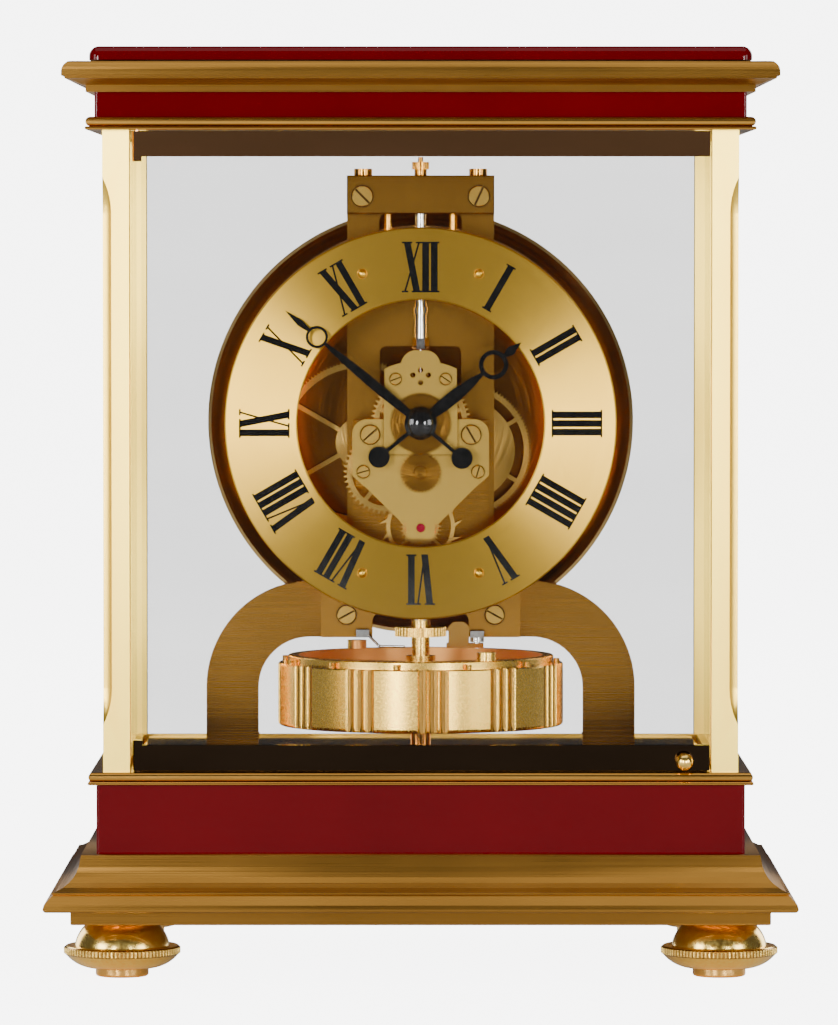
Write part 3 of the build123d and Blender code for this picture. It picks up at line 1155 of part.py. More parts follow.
def lock_parts():
    """Lever that steadies the balance for carrying, its pivot screw and the bent wire spring."""
    foot = block(8.0, 19.5, -2.5, 2.5, 95.4, 96.8)
    foot -= post(*LOCK_PIVOT, 1.0 + PIN_CLEARANCE, 95, 98)
    plate = block(8.6, 15.0, -2.5, -1.3, 96.8, 103.5)
    plate = chamfer(plate.edges().filter_by(Axis.Y).group_by(Axis.Z)[-1], 1.5)
    save("lock_lever", foot + plate)
    pin = post(*LOCK_PIVOT, 1.0, 95.2, NOTCH_TOP_Z - 6) + post(*LOCK_PIVOT, 2.2, 97.2, 98.6)
    arm = block(15.4, 19.6, -2.0, MAIN_PLATE_Y[0], 98.6, 100.6)
    route = FilletPolyline((-16.5, -0.6, 99.6), (-12.8, -1.0, 95.9), (-4.9, -4.0, 95.9), radius=1.5)
    wire = sweep(Plane(route @ 0, z_dir=route % 0) * Circle(0.4), path=route)
    anchor_block = block(-20.0, -16.0, -1.0, MAIN_PLATE_Y[0], 98.6, 101.0)
    save("lock_fixings", pin + arm, wire + anchor_block)


def spirit_level():
    """Round bubble level on the floor, behind the front door."""
    body = post(0, -52.0, 7.0, POST_FOOT_Z + FLOOR_THICK, POST_FOOT_Z + FLOOR_THICK + 3.0)
    save("spirit_level", body)


# ---------------------------------------------------------------- build

base_plate()
plinth_moulding()
case_cores()
lacquer_panels()
deck_plate()
top_frame()
cornice_moulding()
top_panel()
floor_plate()
corner_posts()
glazing()
front_door()
feet()
arch_bracket()
main_plate()
head_block()
suspension()
movement_plates()
pillars()
plate_screws()
jewel()
dial()
hands()
centre_arbor()
hour_wheel()
minute_wheel()
intermediate_wheel()
third_wheel()
escape_wheel()
anchor()
barrel()
mainspring()
winding_work()
bellows_housing()
bellows()
balance_ring()
balance_hub()
balance_screws()
lock_parts()
spirit_level()
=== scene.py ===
import json
import math

import bmesh
import bpy
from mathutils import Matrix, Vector


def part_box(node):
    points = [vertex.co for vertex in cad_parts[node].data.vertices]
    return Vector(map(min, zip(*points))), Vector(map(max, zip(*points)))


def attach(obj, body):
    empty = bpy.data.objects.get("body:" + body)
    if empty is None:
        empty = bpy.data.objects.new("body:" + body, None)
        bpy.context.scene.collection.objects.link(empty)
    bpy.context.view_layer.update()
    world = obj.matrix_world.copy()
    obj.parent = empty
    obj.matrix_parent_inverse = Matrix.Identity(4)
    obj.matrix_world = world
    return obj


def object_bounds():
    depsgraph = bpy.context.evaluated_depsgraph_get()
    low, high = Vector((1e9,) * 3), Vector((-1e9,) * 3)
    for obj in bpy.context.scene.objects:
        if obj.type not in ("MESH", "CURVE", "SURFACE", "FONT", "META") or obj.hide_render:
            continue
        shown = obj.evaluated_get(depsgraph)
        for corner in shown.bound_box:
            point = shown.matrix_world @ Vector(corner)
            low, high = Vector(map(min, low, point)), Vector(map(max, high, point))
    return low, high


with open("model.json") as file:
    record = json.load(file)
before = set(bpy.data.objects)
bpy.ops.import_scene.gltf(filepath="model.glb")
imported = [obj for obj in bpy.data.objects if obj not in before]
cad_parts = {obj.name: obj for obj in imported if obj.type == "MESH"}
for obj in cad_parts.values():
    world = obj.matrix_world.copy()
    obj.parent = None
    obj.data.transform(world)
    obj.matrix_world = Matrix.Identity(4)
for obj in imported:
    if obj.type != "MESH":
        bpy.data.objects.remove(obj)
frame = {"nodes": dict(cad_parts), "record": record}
cad_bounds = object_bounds()
nodes = frame["nodes"]
record = frame["record"]

MM = 0.001

# Sockets of a Mix node that is set to colour.
MIX_FIRST, MIX_SECOND, MIX_RESULT = 6, 7, 2

# Grain of a metal, as features per metre along X, Y and Z.
ALONG = (9.0, 9.0, 7000.0)          # runs level along mouldings
UPRIGHT = (7000.0, 7000.0, 7.0)     # runs up posts and plates
FINE = (900.0, 900.0, 900.0)        # no direction

LEVEL_GRAIN = 0.25                  # anisotropic rotation that spreads the glint upright
UPRIGHT_GRAIN = 0.0                 # anisotropic rotation that spreads the glint level
PATCHES = 14.0                      # slow patches of tone per metre
EDGE_WEAR = 0.35                    # share of the bright tone on sharp edges
CONTACT_SHADE_REACH = 1.2 * MM            # painted contact shade: parts nearer than this darken each other

# Notched rim of the round feet: its radius, and the heights between which it lies; painted shade darkens its
# notches.
FOOT_RIM_RADIUS = 17.6 * MM
FOOT_RIM_LOW = 6.7 * MM
FOOT_RIM_HIGH = 9.1 * MM

# The balance: how far its flutes, its rim and the inside of its ring lie in from its widest point.
FLUTE_IN = 0.9 * MM
RIM_IN = 0.1 * MM
RING_IN = 6.4 * MM

DRUM_SHADE_RADIUS = 56 * MM         # painted shade: the drum is darker nearer its axis than this
DRUM_BACK_SKIN = 0.7 * MM           # its back face keeps the bright finish, free of the painted shade
REAR_PANE = 2.5 * MM                # depth of the rear pane, from the back of the glasses


# ---------------------------------------------------------------- node material helpers

class Tree:
    """A material being built: a Principled shader and short calls for the nodes that feed it."""

    def __init__(self, name, **settings):
        self.material = bpy.data.materials.new(name)
        self.material.use_nodes = True
        self.tree = self.material.node_tree
        self.shader = self.tree.nodes["Principled BSDF"]
        self.coords = self.tree.nodes.new("ShaderNodeTexCoord").outputs["Object"]
        for key, value in settings.items():
            self.shader.inputs[key.replace("_", " ")].default_value = value

    def node(self, kind, **inputs):
        made = self.tree.nodes.new(kind)
        for key, value in inputs.items():
            socket = made.inputs[key.replace("_", " ")]
            if isinstance(value, bpy.types.NodeSocket):
                self.tree.links.new(value, socket)
            else:
                socket.default_value = value
        return made

    def link(self, source, target):
        self.tree.links.new(source, self.shader.inputs[target])

    def noise(self, scale, detail=3.0, rough=0.55, coords=None):
        """Noise from stretched object coordinates; scale is features per metre on each axis."""
        mapping = self.node("ShaderNodeMapping", Vector=coords or self.coords, Scale=scale)
        made = self.node("ShaderNodeTexNoise", Vector=mapping.outputs[0], Scale=1.0, Detail=detail,
                         Roughness=rough)
        return made.outputs["Fac"]

    def remap(self, value, low, high, from_low=0.3, from_high=0.7):
        made = self.node("ShaderNodeMapRange", Value=value)
        made.inputs["From Min"].default_value = from_low
        made.inputs["From Max"].default_value = from_high
        made.inputs["To Min"].default_value = low
        made.inputs["To Max"].default_value = high
        return made.outputs[0]

    def blend(self, factor, first, second):
        made = self.tree.nodes.new("ShaderNodeMix")
        made.data_type = "RGBA"
        self.tree.links.new(factor, made.inputs["Factor"])
        for socket, value in ((made.inputs[MIX_FIRST], first), (made.inputs[MIX_SECOND], second)):
            if isinstance(value, bpy.types.NodeSocket):
                self.tree.links.new(value, socket)
            else:
                socket.default_value = (*value, 1.0)
        return made.outputs[MIX_RESULT]

    def math(self, operation, first, second=0.0):
        made = self.tree.nodes.new("ShaderNodeMath")
        made.operation = operation
        for socket, value in zip(made.inputs, (first, second)):
            if isinstance(value, bpy.types.NodeSocket):
                self.tree.links.new(value, socket)
            else:
                socket.default_value = value
        return made.outputs[0]

    def bump(self, height, strength, distance):
        made = self.node("ShaderNodeBump", Height=height, Strength=strength, Distance=distance)
        self.link(made.outputs[0], "Normal")

    def length(self, first, second):
        """Distance from the two offsets at right angles."""
        squares = (self.math("MULTIPLY", offset, offset) for offset in (first, second))
        return self.math("SQRT", self.math("ADD", *squares))

    def contact_shade_mask(self, reach):
        """Painted contact shade: 1 where other parts stand close to the surface, 0 where it is open."""
        open_sky = self.node("ShaderNodeAmbientOcclusion", Distance=reach).outputs["AO"]
        return self.remap(open_sky, 1.0, 0.0, 0.25, 0.95)

    def edges(self):
        """How sharply the surface turns outward, for the bright wear along edges."""
        pointiness = self.tree.nodes.new("ShaderNodeNewGeometry").outputs["Pointiness"]
        return self.remap(pointiness, 0.0, 1.0, 0.52, 0.62)


def metal(name, dark, light, rough, grain, grain_depth=0.25, contact_shade_colour=None, **settings):
    """Metal with a directional grain, slow patches of tone, brighter edges and, if asked, painted contact
    shade where other parts stand close.
    """
    tree = Tree(name, Metallic=1.0, **settings)
    lines = tree.noise(grain, 4.0)
    slow = tree.noise((PATCHES, PATCHES, PATCHES), 2.0)
    tone = tree.math("ADD", tree.remap(lines, 0.35, 0.65), tree.remap(slow, -0.25, 0.25))
    brighter = tuple(min(1.0, channel * 1.15) for channel in light)
    worn = tree.math("MULTIPLY", tree.edges(), EDGE_WEAR)
    colour = tree.blend(worn, tree.blend(tone, dark, light), brighter)
    if contact_shade_colour:
        # painted shade: the colour darkens where other parts stand close, as their shadow would
        colour = tree.blend(tree.contact_shade_mask(CONTACT_SHADE_REACH), colour, contact_shade_colour)
    tree.link(colour, "Base Color")
    tree.link(tree.remap(tree.math("ADD", lines, tree.remap(slow, -0.1, 0.1)), *rough), "Roughness")
    if grain_depth:
        tree.bump(lines, grain_depth, 0.00004)
    return tree.material


def brushed(name, dark, light, rough, grain, turn, anisotropic=0.85):
    """Brushed metal: turn says which way the glint spreads."""
    material = metal(name, dark, light, rough, grain, 0.12, Anisotropic=anisotropic,
                     Anisotropic_Rotation=turn)
    add_tangent(material, "Z")
    return material


def add_tangent(material, axis):
    """Let the glint follow circles about an axis of the clock."""
    tree = material.node_tree
    tangent = tree.nodes.new("ShaderNodeTangent")
    tangent.direction_type = "RADIAL"
    tangent.axis = axis
    tree.links.new(tangent.outputs[0], tree.nodes["Principled BSDF"].inputs["Tangent"])


def ringed(name, dark, light, rough, rings, centre, depth=0.2, anisotropic=0.7, shade=None):
    """Metal turned about a front-to-back axis: the grain runs in circles round the centre.

    shade is (radius, colour, depth): painted shade; nearer the axis than that radius, and in front of that
    depth, the metal is darker.
    """
    tree = Tree(name, Metallic=1.0, Anisotropic=anisotropic, Anisotropic_Rotation=LEVEL_GRAIN)
    parts = tree.node("ShaderNodeSeparateXYZ", Vector=tree.coords)
    across = tree.math("SUBTRACT", parts.outputs[0], centre[0])
    up = tree.math("SUBTRACT", parts.outputs[2], centre[2])
    radius = tree.length(across, up)
    angle = tree.math("ARCTAN2", up, across)
    polar = tree.node("ShaderNodeCombineXYZ", X=radius, Y=angle, Z=0.0).outputs[0]
    lines = tree.noise((rings, 1.5, 1.0), 4.0, coords=polar)
    slow = tree.noise((30.0, 30.0, 30.0), 2.0)
    tone = tree.math("ADD", tree.remap(lines, 0.35, 0.65), tree.remap(slow, -0.15, 0.15))
    colour = tree.blend(tone, dark, light)
    if shade:
        # painted shade inside the drum
        inside = tree.remap(radius, 1.0, 0.0, shade[0] - 2 * MM, shade[0])
        front = tree.math("LESS_THAN", parts.outputs[1], shade[2])
        colour = tree.blend(tree.math("MULTIPLY", inside, front), colour, shade[1])
    tree.link(colour, "Base Color")
    tree.link(tree.remap(lines, *rough), "Roughness")
    tree.bump(lines, depth, 0.00002)
    add_tangent(tree.material, "Y")
    return tree.material


def fluted(name, body, painted_groove_shade, inside, groove_radius, rim_radius, inner_radius):
    """The balance: satin outside, polished in its flutes with painted shade darkening them, warm and dull
    inside the ring.
    """
    tree = Tree(name, Metallic=1.0)
    parts = tree.node("ShaderNodeSeparateXYZ", Vector=tree.coords)
    radius = tree.length(parts.outputs[0], parts.outputs[1])
    outer = tree.math("GREATER_THAN", radius, groove_radius - 0.0012)
    # painted shade in the flutes; the same mask also makes them more polished
    flute_polish_and_shade = tree.math("MULTIPLY", tree.remap(radius, 1.0, 0.0, groove_radius, rim_radius), outer)
    hollow = tree.remap(radius, 1.0, 0.0, inner_radius, inner_radius + 0.0002)
    hollow = tree.math("MULTIPLY", hollow, tree.math("GREATER_THAN", radius, 0.8 * inner_radius))
    fine = tree.noise((1500.0, 1500.0, 1500.0), 3.0)
    dark = tuple(channel * 0.9 for channel in body)
    colour = tree.blend(tree.remap(fine, 0.0, 1.0), dark, body)
    colour = tree.blend(hollow, tree.blend(flute_polish_and_shade, colour, painted_groove_shade), inside)
    tree.link(colour, "Base Color")
    satin = tree.math("SUBTRACT", tree.remap(fine, 0.22, 0.30), tree.math("MULTIPLY", flute_polish_and_shade, 0.22))
    tree.link(tree.math("ADD", satin, tree.math("MULTIPLY", hollow, 0.2)), "Roughness")
    return tree.material


def knurled_feet(name, dark, light, painted_groove_shade, rough, place):
    """Turned feet: bright metal with painted shade darkening the notches of the knurled rim."""
    tree = Tree(name, Metallic=1.0)
    parts = tree.node("ShaderNodeSeparateXYZ", Vector=tree.coords)
    across = tree.math("SUBTRACT", tree.math("ABSOLUTE", parts.outputs[0]), place[0])
    deep = tree.math("SUBTRACT", tree.math("ABSOLUTE", parts.outputs[1]), place[1])
    radius = tree.length(across, deep)
    # painted shade in the notches of the knurled rim
    notch_shade = tree.remap(radius, 1.0, 0.0, FOOT_RIM_RADIUS - 0.3 * MM, FOOT_RIM_RADIUS - 0.05 * MM)
    in_rim = tree.math("MULTIPLY", tree.math("GREATER_THAN", radius, FOOT_RIM_RADIUS - 0.6 * MM),
                       tree.math("GREATER_THAN", parts.outputs[2], FOOT_RIM_LOW))
    in_rim = tree.math("MULTIPLY", in_rim, tree.math("LESS_THAN", parts.outputs[2], FOOT_RIM_HIGH))
    fine = tree.noise(FINE, 3.0)
    colour = tree.blend(tree.remap(fine, 0.0, 1.0), dark, light)
    tree.link(tree.blend(tree.math("MULTIPLY", notch_shade, in_rim), colour, painted_groove_shade), "Base Color")
    tree.link(tree.remap(fine, *rough), "Roughness")
    return tree.material


def lacquer(name):
    """Deep red gloss lacquer with a faint ripple and slightly darker patches."""
    tree = Tree(name, Coat_Weight=0.35, Coat_Roughness=0.02, Specular_IOR_Level=0.0)
    slow = tree.noise((20.0, 20.0, 20.0), 3.0)
    colour = tree.blend(tree.remap(slow, 0.0, 1.0), (0.080, 0.0, 0.0015), (0.098, 0.0002, 0.002))
    tree.link(colour, "Base Color")
    tree.link(tree.remap(tree.noise((300.0, 300.0, 300.0), 2.0), 0.16, 0.26), "Roughness")
    tree.bump(tree.noise((120.0, 120.0, 120.0), 2.0), 0.05, 0.0001)
    return tree.material


def glass(name, tint, veil, rear_veil, rear_y):
    """Clear pane: reflects more at a glance, with faint wipe marks; the rear pane is tinted darker."""
    tree = Tree(name, IOR=1.5, Base_Color=(*tint, 1.0))
    wipe = tree.noise((9.0, 9.0, 40.0), 4.0)
    tree.link(tree.remap(wipe, 0.01, 0.03), "Roughness")
    depth = tree.node("ShaderNodeSeparateXYZ", Vector=tree.coords).outputs[1]
    plain = tree.remap(depth, veil, rear_veil, rear_y - 0.001, rear_y)
    facing = tree.node("ShaderNodeLayerWeight", Blend=0.35).outputs["Facing"]
    glance = tree.math("MULTIPLY", tree.math("POWER", facing, 3.0), tree.math("SUBTRACT", 0.7, plain))
    marks = tree.remap(wipe, 0.0, 0.015)
    tree.link(tree.math("ADD", tree.math("ADD", plain, glance), marks), "Alpha")
    return tree.material


def plastic(name, dark, light, rough, scale=400.0, **settings):
    """Painted, felted or stone-like surface with fine mottling."""
    tree = Tree(name, **settings)
    fine = tree.noise((scale, scale, scale), 3.0)
    tree.link(tree.blend(tree.remap(fine, 0.0, 1.0), dark, light), "Base Color")
    tree.link(tree.remap(fine, *rough), "Roughness")
    tree.bump(fine, 0.08, 0.00004)
    return tree.material


def painted_height_light(name, low, high, low_z, high_z, rough):
    """Mirror-bright dark brass with painted reflection and shade: nearly black near the clock's foot, bright
    brown near its top.
    """
    tree = Tree(name, Metallic=1.0)
    level = tree.node("ShaderNodeSeparateXYZ", Vector=tree.coords).outputs[2]
    slow = tree.noise((20.0, 20.0, 60.0), 3.0)
    # painted light: the colour brightens with height
    colour = tree.blend(tree.remap(level, 0.0, 1.0, low_z, high_z), low, high)
    duller = tree.blend(tree.remap(slow, 0.0, 0.35), colour, (0.01, 0.006, 0.004))
    tree.link(duller, "Base Color")
    tree.link(tree.remap(slow, *rough), "Roughness")
    return tree.material


# ---------------------------------------------------------------- materials of the clock

def middle(node):
    low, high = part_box(node)
    return (Vector(low) + Vector(high)) / 2


def case_materials():
    """Gilding, lacquer, wood and glass of the case."""
    foot = middle("foot_wheel_right")
    rear_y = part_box("case_glasses")[1][1] - REAR_PANE
    clear = (0.010, 0.012, 0.011)
    return (
        brushed("gilt_moulding", (0.30, 0.145, 0.025), (0.47, 0.235, 0.045), (0.26, 0.38), ALONG,
                LEVEL_GRAIN),
        metal("gilt_bead", (0.42, 0.21, 0.035), (0.66, 0.34, 0.07), (0.14, 0.26), ALONG),
        brushed("gilt_post", (0.92, 0.58, 0.075), (0.98, 0.68, 0.12), (0.30, 0.38), UPRIGHT, UPRIGHT_GRAIN),
        knurled_feet("gilt_feet", (1.0, 0.60, 0.12), (1.0, 0.74, 0.20), (0.25, 0.11, 0.02), (0.14, 0.26),
                     (foot.x, -foot.y)),
        metal("foot_felt", (0.90, 0.46, 0.10), (0.98, 0.58, 0.16), (0.12, 0.24), FINE, 0.04),
        lacquer("red_lacquer"),
        plastic("core_wood", (0.20, 0.12, 0.06), (0.34, 0.21, 0.11), (0.5, 0.7), 80.0),
        glass("glass", (0.010, 0.013, 0.011), 0.10, 0.42, rear_y),
        glass("door_glass", clear, 0.06, 0.06, rear_y),
        # mirror_brass: painted light, dark low on the clock and bright higher up
        painted_height_light("mirror_brass", (0.030, 0.018, 0.010), (0.98, 0.50, 0.22), 0.08, 0.24, (0.04, 0.10)),
        metal("floor_brass", (0.74, 0.34, 0.06), (0.92, 0.48, 0.12), (0.08, 0.18), FINE, 0.04),
    )


def movement_materials():
    """Plates, wheels, levers and jewel of the movement."""
    hub = middle("hand_cap")
    return (
        brushed("frame_brass", (0.50, 0.235, 0.034), (0.68, 0.34, 0.058), (0.20, 0.30), ALONG,
                LEVEL_GRAIN, 0.75),
        # The last colour of plate_brass and main_brass is painted contact shade near the parts in front of
        # them
        metal("plate_brass", (0.98, 0.54, 0.085), (1.0, 0.63, 0.14), (0.20, 0.215), UPRIGHT, 0.0,
              contact_shade_colour=(0.30, 0.13, 0.015)),
        metal("main_brass", (0.52, 0.24, 0.034), (0.64, 0.32, 0.052), (0.17, 0.19), UPRIGHT, 0.0,
              contact_shade_colour=(0.20, 0.075, 0.01)),
        ringed("wheel_brass", (0.90, 0.50, 0.09), (1.0, 0.66, 0.18), (0.12, 0.22), 3000.0, hub),
        ringed("motion_brass", (0.44, 0.19, 0.024), (0.66, 0.32, 0.05), (0.10, 0.20), 3000.0, hub),
        metal("steel", (0.46, 0.45, 0.43), (0.74, 0.73, 0.70), (0.10, 0.24), FINE, 0.05),
        metal("lever_brass", (0.50, 0.25, 0.05), (0.70, 0.38, 0.09), (0.16, 0.28), ALONG, 0.1),
        plastic("ruby", (0.20, 0.002, 0.012), (0.34, 0.006, 0.03), (0.03, 0.08), 600.0, Coat_Weight=1.0),
    )


def dial_and_balance_materials():
    """Dial, hands, drum, bellows, balance and spirit level."""
    centre = middle("dial_ring")
    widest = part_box("balance_ring")[1][0]
    drum_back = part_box("bellows_housing")[1][1]
    painted_drum_shade = (DRUM_SHADE_RADIUS, (0.44, 0.17, 0.028), drum_back - DRUM_BACK_SKIN)
    return (
        ringed("dial_gold", (0.76, 0.44, 0.045), (0.88, 0.54, 0.07), (0.28, 0.34), 4200.0, centre,
               0.12, 0.9),
        plastic("black", (0.003, 0.003, 0.003), (0.010, 0.009, 0.009), (0.05, 0.14), 500.0,
                Coat_Weight=0.6),
        ringed("housing_gold", (0.84, 0.52, 0.17), (0.94, 0.64, 0.25), (0.10, 0.20), 1800.0, centre,
               0.04, 0.4, painted_drum_shade),
        metal("bellows_metal", (0.55, 0.53, 0.50), (0.76, 0.74, 0.71), (0.2, 0.35), FINE, 0.1),
        fluted("balance_gold", (0.96, 0.60, 0.11), (0.42, 0.20, 0.035), (0.95, 0.46, 0.13),
               widest - FLUTE_IN, widest - RIM_IN, widest - RING_IN),
        plastic("level_glass", (0.50, 0.62, 0.16), (0.66, 0.78, 0.26), (0.03, 0.06), 200.0,
                Transmission_Weight=0.6),
    )


def clock_materials():
    """Every material of the clock by its name, without the number that Blender adds to a name in use."""
    made = (*case_materials(), *movement_materials(), *dial_and_balance_materials())
    return {material.name.split(".")[0]: material for material in made}


SHARP_ANGLE = 40        # edges that turn more than this many degrees are softened

# Width of the softened edge of each sharp-edged part, in millimetres.
SOFT_EDGES = {
    0.05: ("hour_wheel", "minute_wheel", "centre_arbor", "intermediate_wheel", "third_wheel", "escape_wheel",
           "barrel", "winding_wheel", "barrel_arbor", "balance_stem", "anchor"),
    0.12: ("front_plate", "upper_bridges", "plate_screws", "train_plates", "pillars", "lock_lever",
           "lock_fixings", "balance_screws", "suspension", "hour_hand", "minute_hand"),
    0.25: ("main_plate", "head_block", "arch_bracket", "corner_posts", "door_rails", "door_pivot_blocks",
           "floor_plate", "glazing_strips", "balance_spokes"),
}


def soften_edges():
    """Narrow bevels that catch the light along the sharp edges of the parts."""
    for width, names in SOFT_EDGES.items():
        for name in names:
            bevel = nodes[name].modifiers.new("soft_edges", "BEVEL")
            bevel.width = width * MM
            bevel.segments = 1
            bevel.limit_method = "ANGLE"
            bevel.angle_limit = math.radians(SHARP_ANGLE)
            bevel.harden_normals = False


# Nodes that show another finish than their slot's.
OWN_LOOK = {
    "door_glass": "door_glass",
    "door_knob": "gilt_feet",
    "train_plates": "frame_brass",
    "main_plate": "main_brass",
    "head_block": "main_brass",
    "hour_wheel": "motion_brass",
    "minute_wheel": "motion_brass",
}


def paint_nodes(materials):
    """Give each CAD node the material of its slot."""
    for part in record["subparts"]:
        node = nodes[part["node"]]
        name = OWN_LOOK.get(part["node"], part["material_slot"])
        for material_slot in node.material_slots:
            material_slot.material = materials[name]


# ---------------------------------------------------------------- small parts that only the picture has

def add_piece(name, mesh, material, body):
    """A new piece that rides with a body of the clock."""
    piece = bpy.data.objects.new(name, mesh)
    bpy.context.collection.objects.link(piece)
    mesh.materials.append(material)
    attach(piece, body)


def islands(node):
    """The separate solids of a node, each as a list of world points."""
    cad = bmesh.new()
    cad.from_mesh(node.data)
    bmesh.ops.remove_doubles(cad, verts=cad.verts, dist=1e-7)
    left = set(cad.verts)
    found = []
    while left:
        group = [left.pop()]
        for vertex in group:
            for edge in vertex.link_edges:
                other = edge.other_vert(vertex)
                if other in left:
                    left.remove(other)
                    group.append(other)
        found.append([node.matrix_world @ vertex.co for vertex in group])
    cad.free()
    return found


def slab(mesh_maker, corners, y_front, y_back):
    """A thin upright slab through the given X and Z corners."""
    front = [mesh_maker.verts.new((x, y_front, z)) for x, z in corners]
    back = [mesh_maker.verts.new((x, y_back, z)) for x, z in corners]
    mesh_maker.faces.new(front)
    mesh_maker.faces.new(back[::-1])
    for index in range(len(corners)):
        after = (index + 1) % len(corners)
        mesh_maker.faces.new((front[after], front[index], back[index], back[after]))


# Sizes of the dark sheets of painted shade in the screws' slots and round their heads.
SLOT_REACH = 0.95       # half length, half width and seat of a screw's slot, in radii of its head
SLOT_HALF_WIDTH = 0.11
SEAT_REACH = 1.09
SEAT_CORNERS = 36
SLOT_FLOOR = 0.04 * MM
SEAT_THICK = 0.05 * MM


def screw_shade_sheets(dark):
    """Painted shade: a dark sheet on the floor of each screw's slot and a dark ring round its head."""
    made = bmesh.new()
    turns = [2 * math.pi * step / SEAT_CORNERS for step in range(SEAT_CORNERS)]
    for points in islands(nodes["plate_screws"]):
        low = Vector(map(min, zip(*points)))
        high = Vector(map(max, zip(*points)))
        centre = (low + high) / 2
        radius = (high.x - low.x) / 2
        depth = (high.y - low.y) / 2
        floor = [point for point in points if abs(point.y - low.y - depth) < 0.1 * depth]
        ends = max(((a, b) for a in floor for b in floor), key=lambda pair: (pair[0] - pair[1]).length)
        along = Vector((ends[1].x - ends[0].x, 0, ends[1].z - ends[0].z)).normalized()
        along = along * radius * SLOT_REACH
        side = Vector((-along.z, 0, along.x)).normalized() * radius * SLOT_HALF_WIDTH
        corners = [centre + along + side, centre + along - side, centre - along - side, centre - along + side]
        slab(made, [(corner.x, corner.z) for corner in corners], low.y + depth - SLOT_FLOOR, low.y + depth)
        wide = SEAT_REACH * radius
        seat = [(centre.x + wide * math.cos(turn), centre.z + wide * math.sin(turn)) for turn in turns]
        slab(made, seat, high.y - SEAT_THICK, high.y)
    bmesh.ops.recalc_face_normals(made, faces=made.faces)
    mesh = bpy.data.meshes.new("screw_shade_sheets")
    made.to_mesh(mesh)
    made.free()
    add_piece("screw_shade_sheets", mesh, dark, "case")


def turned_mesh(name, centre, profile, steps=48):
    """Revolve a profile of (radius, height) about an upright axis."""
    made = bmesh.new()
    rings = []
    for radius, height in profile:
        ring = []
        for step in range(steps):
            turn = 2 * math.pi * step / steps
            across = centre[0] + radius * math.cos(turn)
            deep = centre[1] + radius * math.sin(turn)
            ring.append(made.verts.new((across, deep, centre[2] + height)))
        rings.append(ring)
    for low, high in zip(rings, rings[1:]):
        for step in range(steps):
            after = (step + 1) % steps
            made.faces.new((low[step], low[after], high[after], high[step]))
    made.faces.new(rings[0][::-1])
    made.faces.new(rings[-1])
    mesh = bpy.data.meshes.new(name)
    made.to_mesh(mesh)
    made.free()
    for face in mesh.polygons:
        face.use_smooth = True
    return mesh


# Outlines of the spirit level's pieces as radius and height in millimetres; the bezel's radii start at the
# edge of the glass.
BEZEL = ((0, -1.6), (0.9, -1.6), (0.9, 0.1), (0.4, 0.5), (-0.9, 0.5), (-1.1, 0.02))
BUBBLE = ((0.15, 0.0), (1.9, 0.02), (1.5, 0.22), (0.8, 0.34), (0.1, 0.38))
BUBBLE_OFF_CENTRE = Vector((0.8, 0.5, 0)) * MM


def level_parts(materials):
    """Brass bezel and bubble of the spirit level on the floor."""
    low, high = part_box("spirit_level")
    outer = (high[0] - low[0]) / 2
    centre = middle("spirit_level")
    centre.z = high[2]
    bezel = [(outer + radius * MM, height * MM) for radius, height in BEZEL]
    bubble = [(radius * MM, height * MM) for radius, height in BUBBLE]
    rim = turned_mesh("level_bezel", centre, bezel)
    add_piece("level_bezel", rim, materials["gilt_bead"], "case")
    pale = plastic("bubble_clear", (0.80, 0.90, 0.60), (0.90, 0.97, 0.75), (0.02, 0.05), 300.0,
                   Coat_Weight=1.0)
    drop = turned_mesh("level_bubble", centre + BUBBLE_OFF_CENTRE, bubble)
    add_piece("level_bubble", drop, pale, "case")


# ---------------------------------------------------------------- floor, light and camera

def brighten_for_camera(material, strength):
    """Adds an even glow that only the picture sees, so the floor stays pale to the horizon."""
    tree = material.node_tree
    shader = tree.nodes["Principled BSDF"]
    path = tree.nodes.new("ShaderNodeLightPath").outputs["Is Camera Ray"]
    scaled = tree.nodes.new("ShaderNodeMath")
    scaled.operation = "MULTIPLY"
    scaled.inputs[1].default_value = strength
    tree.links.new(path, scaled.inputs[0])
    tree.links.new(scaled.outputs[0], shader.inputs["Emission Strength"])
    shader.inputs["Emission Color"].default_value = (1.0, 1.0, 1.0, 1.0)


FLOOR_SIZE = 40.0
FLOOR_GLOW = 6.3            # seen by the camera only
BACKDROP = 6.4              # seen by the camera only
SURROUND = (0.09, 0.09, 0.095, 1.0)

# Soft boxes: name, place, width and height in metres, and watts.
LAMPS = (
    ("left_box", (-1.9, -1.6, 0.5), (0.9, 1.2), 34.0),
    ("right_box", (1.9, -1.7, 0.4), (0.9, 1.2), 28.0),
    ("front_left", (-0.85, -2.4, 0.35), (0.35, 0.7), 36.0),
    ("front_right", (0.95, -2.4, 0.25), (0.35, 0.7), 30.0),
    ("top_box", (0.0, -0.2, 1.6), (1.8, 1.2), 9.0),
    ("back_left", (-1.2, 1.3, 0.6), (0.8, 1.2), 14.0),
    ("back_right", (1.2, 1.3, 0.6), (0.8, 1.2), 14.0),
)
LAMPS_AIM = Vector((0, 0, 0.15))


def pale_floor():
    """A wide, pale, level floor under the clock."""
    floor_material = plastic("floor_pale", (0.80, 0.80, 0.79), (0.84, 0.84, 0.83), (0.5, 0.6), 40.0)
    bpy.ops.mesh.primitive_plane_add(size=FLOOR_SIZE, location=(0, 0, 0))
    floor = bpy.context.object
    floor.name = "floor"
    floor.data.materials.append(floor_material)
    brighten_for_camera(floor_material, FLOOR_GLOW)


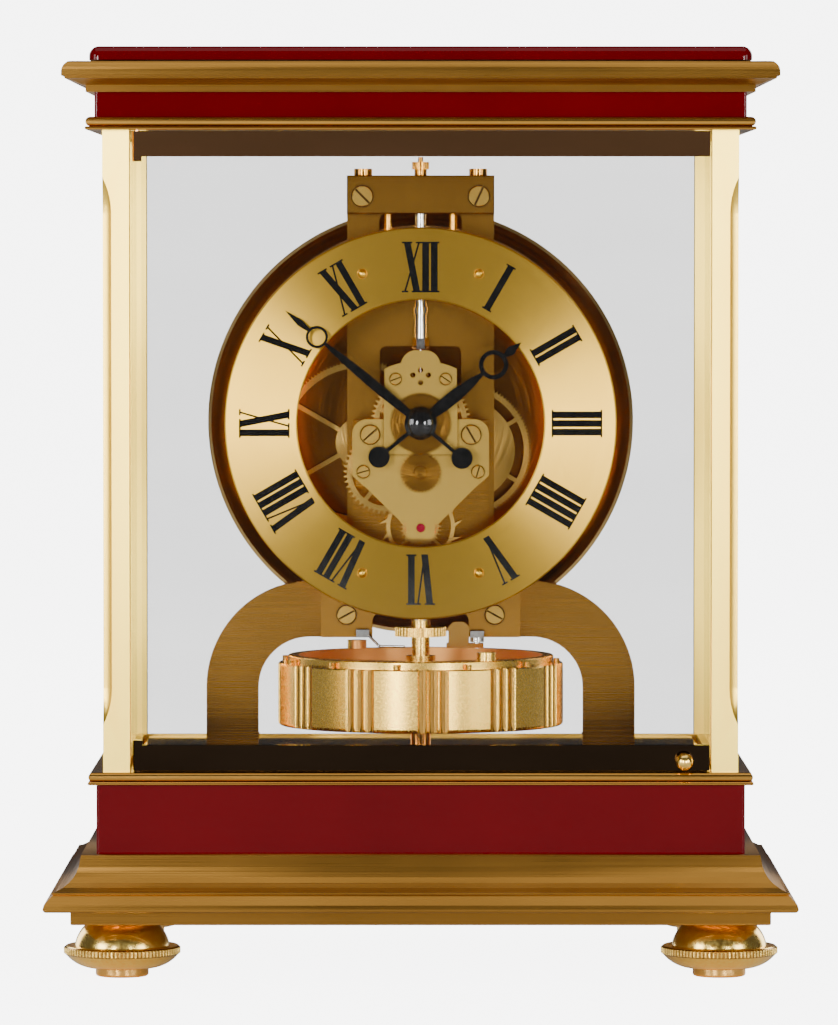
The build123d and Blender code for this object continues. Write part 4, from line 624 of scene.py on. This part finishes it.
def surround():
    """Dim for the clock, bright as a backdrop."""
    world = bpy.data.worlds.new("surround")
    world.use_nodes = True
    tree = world.node_tree
    background = tree.nodes["Background"]
    path = tree.nodes.new("ShaderNodeLightPath").outputs["Is Camera Ray"]
    seen = tree.nodes.new("ShaderNodeMix")
    seen.data_type = "RGBA"
    seen.inputs[MIX_FIRST].default_value = SURROUND
    seen.inputs[MIX_SECOND].default_value = (BACKDROP, BACKDROP, BACKDROP, 1.0)
    tree.links.new(path, seen.inputs["Factor"])
    tree.links.new(seen.outputs[MIX_RESULT], background.inputs["Color"])
    bpy.context.scene.world = world


def soft_boxes():
    """Area lamps at both sides, in front, above and behind."""
    for name, place, size, power in LAMPS:
        light = bpy.data.lights.new(name, "AREA")
        light.shape = "RECTANGLE"
        light.size, light.size_y = size
        light.energy = power
        lamp = bpy.data.objects.new(name, light)
        lamp.visible_camera = False
        lamp.location = place
        lamp.rotation_euler = (LAMPS_AIM - Vector(place)).to_track_quat("-Z", "Y").to_euler()
        bpy.context.collection.objects.link(lamp)


EYE_DISTANCE = 2.034        # from the front tip of the plinth, in metres
EYE_HEIGHT = 0.2179
EYE_ASIDE = -0.0005
TILT_DOWN = 2.176           # degrees
LENS = 240.3                # millimetres, on a sensor 36 mm wide
SENSOR = 36.0
HORIZON = 100.0             # far clipping distance


def camera():
    """Long lens at the level of the dial's top, looking slightly down."""
    data = bpy.data.cameras.new("camera")
    data.lens = LENS
    data.sensor_width = SENSOR
    data.clip_end = HORIZON
    eye = bpy.data.objects.new("camera", data)
    eye.location = (EYE_ASIDE, cad_bounds[0][1] - EYE_DISTANCE, EYE_HEIGHT)
    eye.rotation_euler = (math.radians(90 - TILT_DOWN), 0, 0)
    bpy.context.collection.objects.link(eye)
    bpy.context.scene.camera = eye


materials = clock_materials()
paint_nodes(materials)
soften_edges()
level_parts(materials)
# painted shade: dark sheets in the screws' slots and round their heads
screw_shade_sheets(metal("painted_screw_shade", (0.030, 0.016, 0.006), (0.060, 0.032, 0.012), (0.4, 0.6), FINE, 0.1))
pale_floor()
surround()
soft_boxes()
camera()
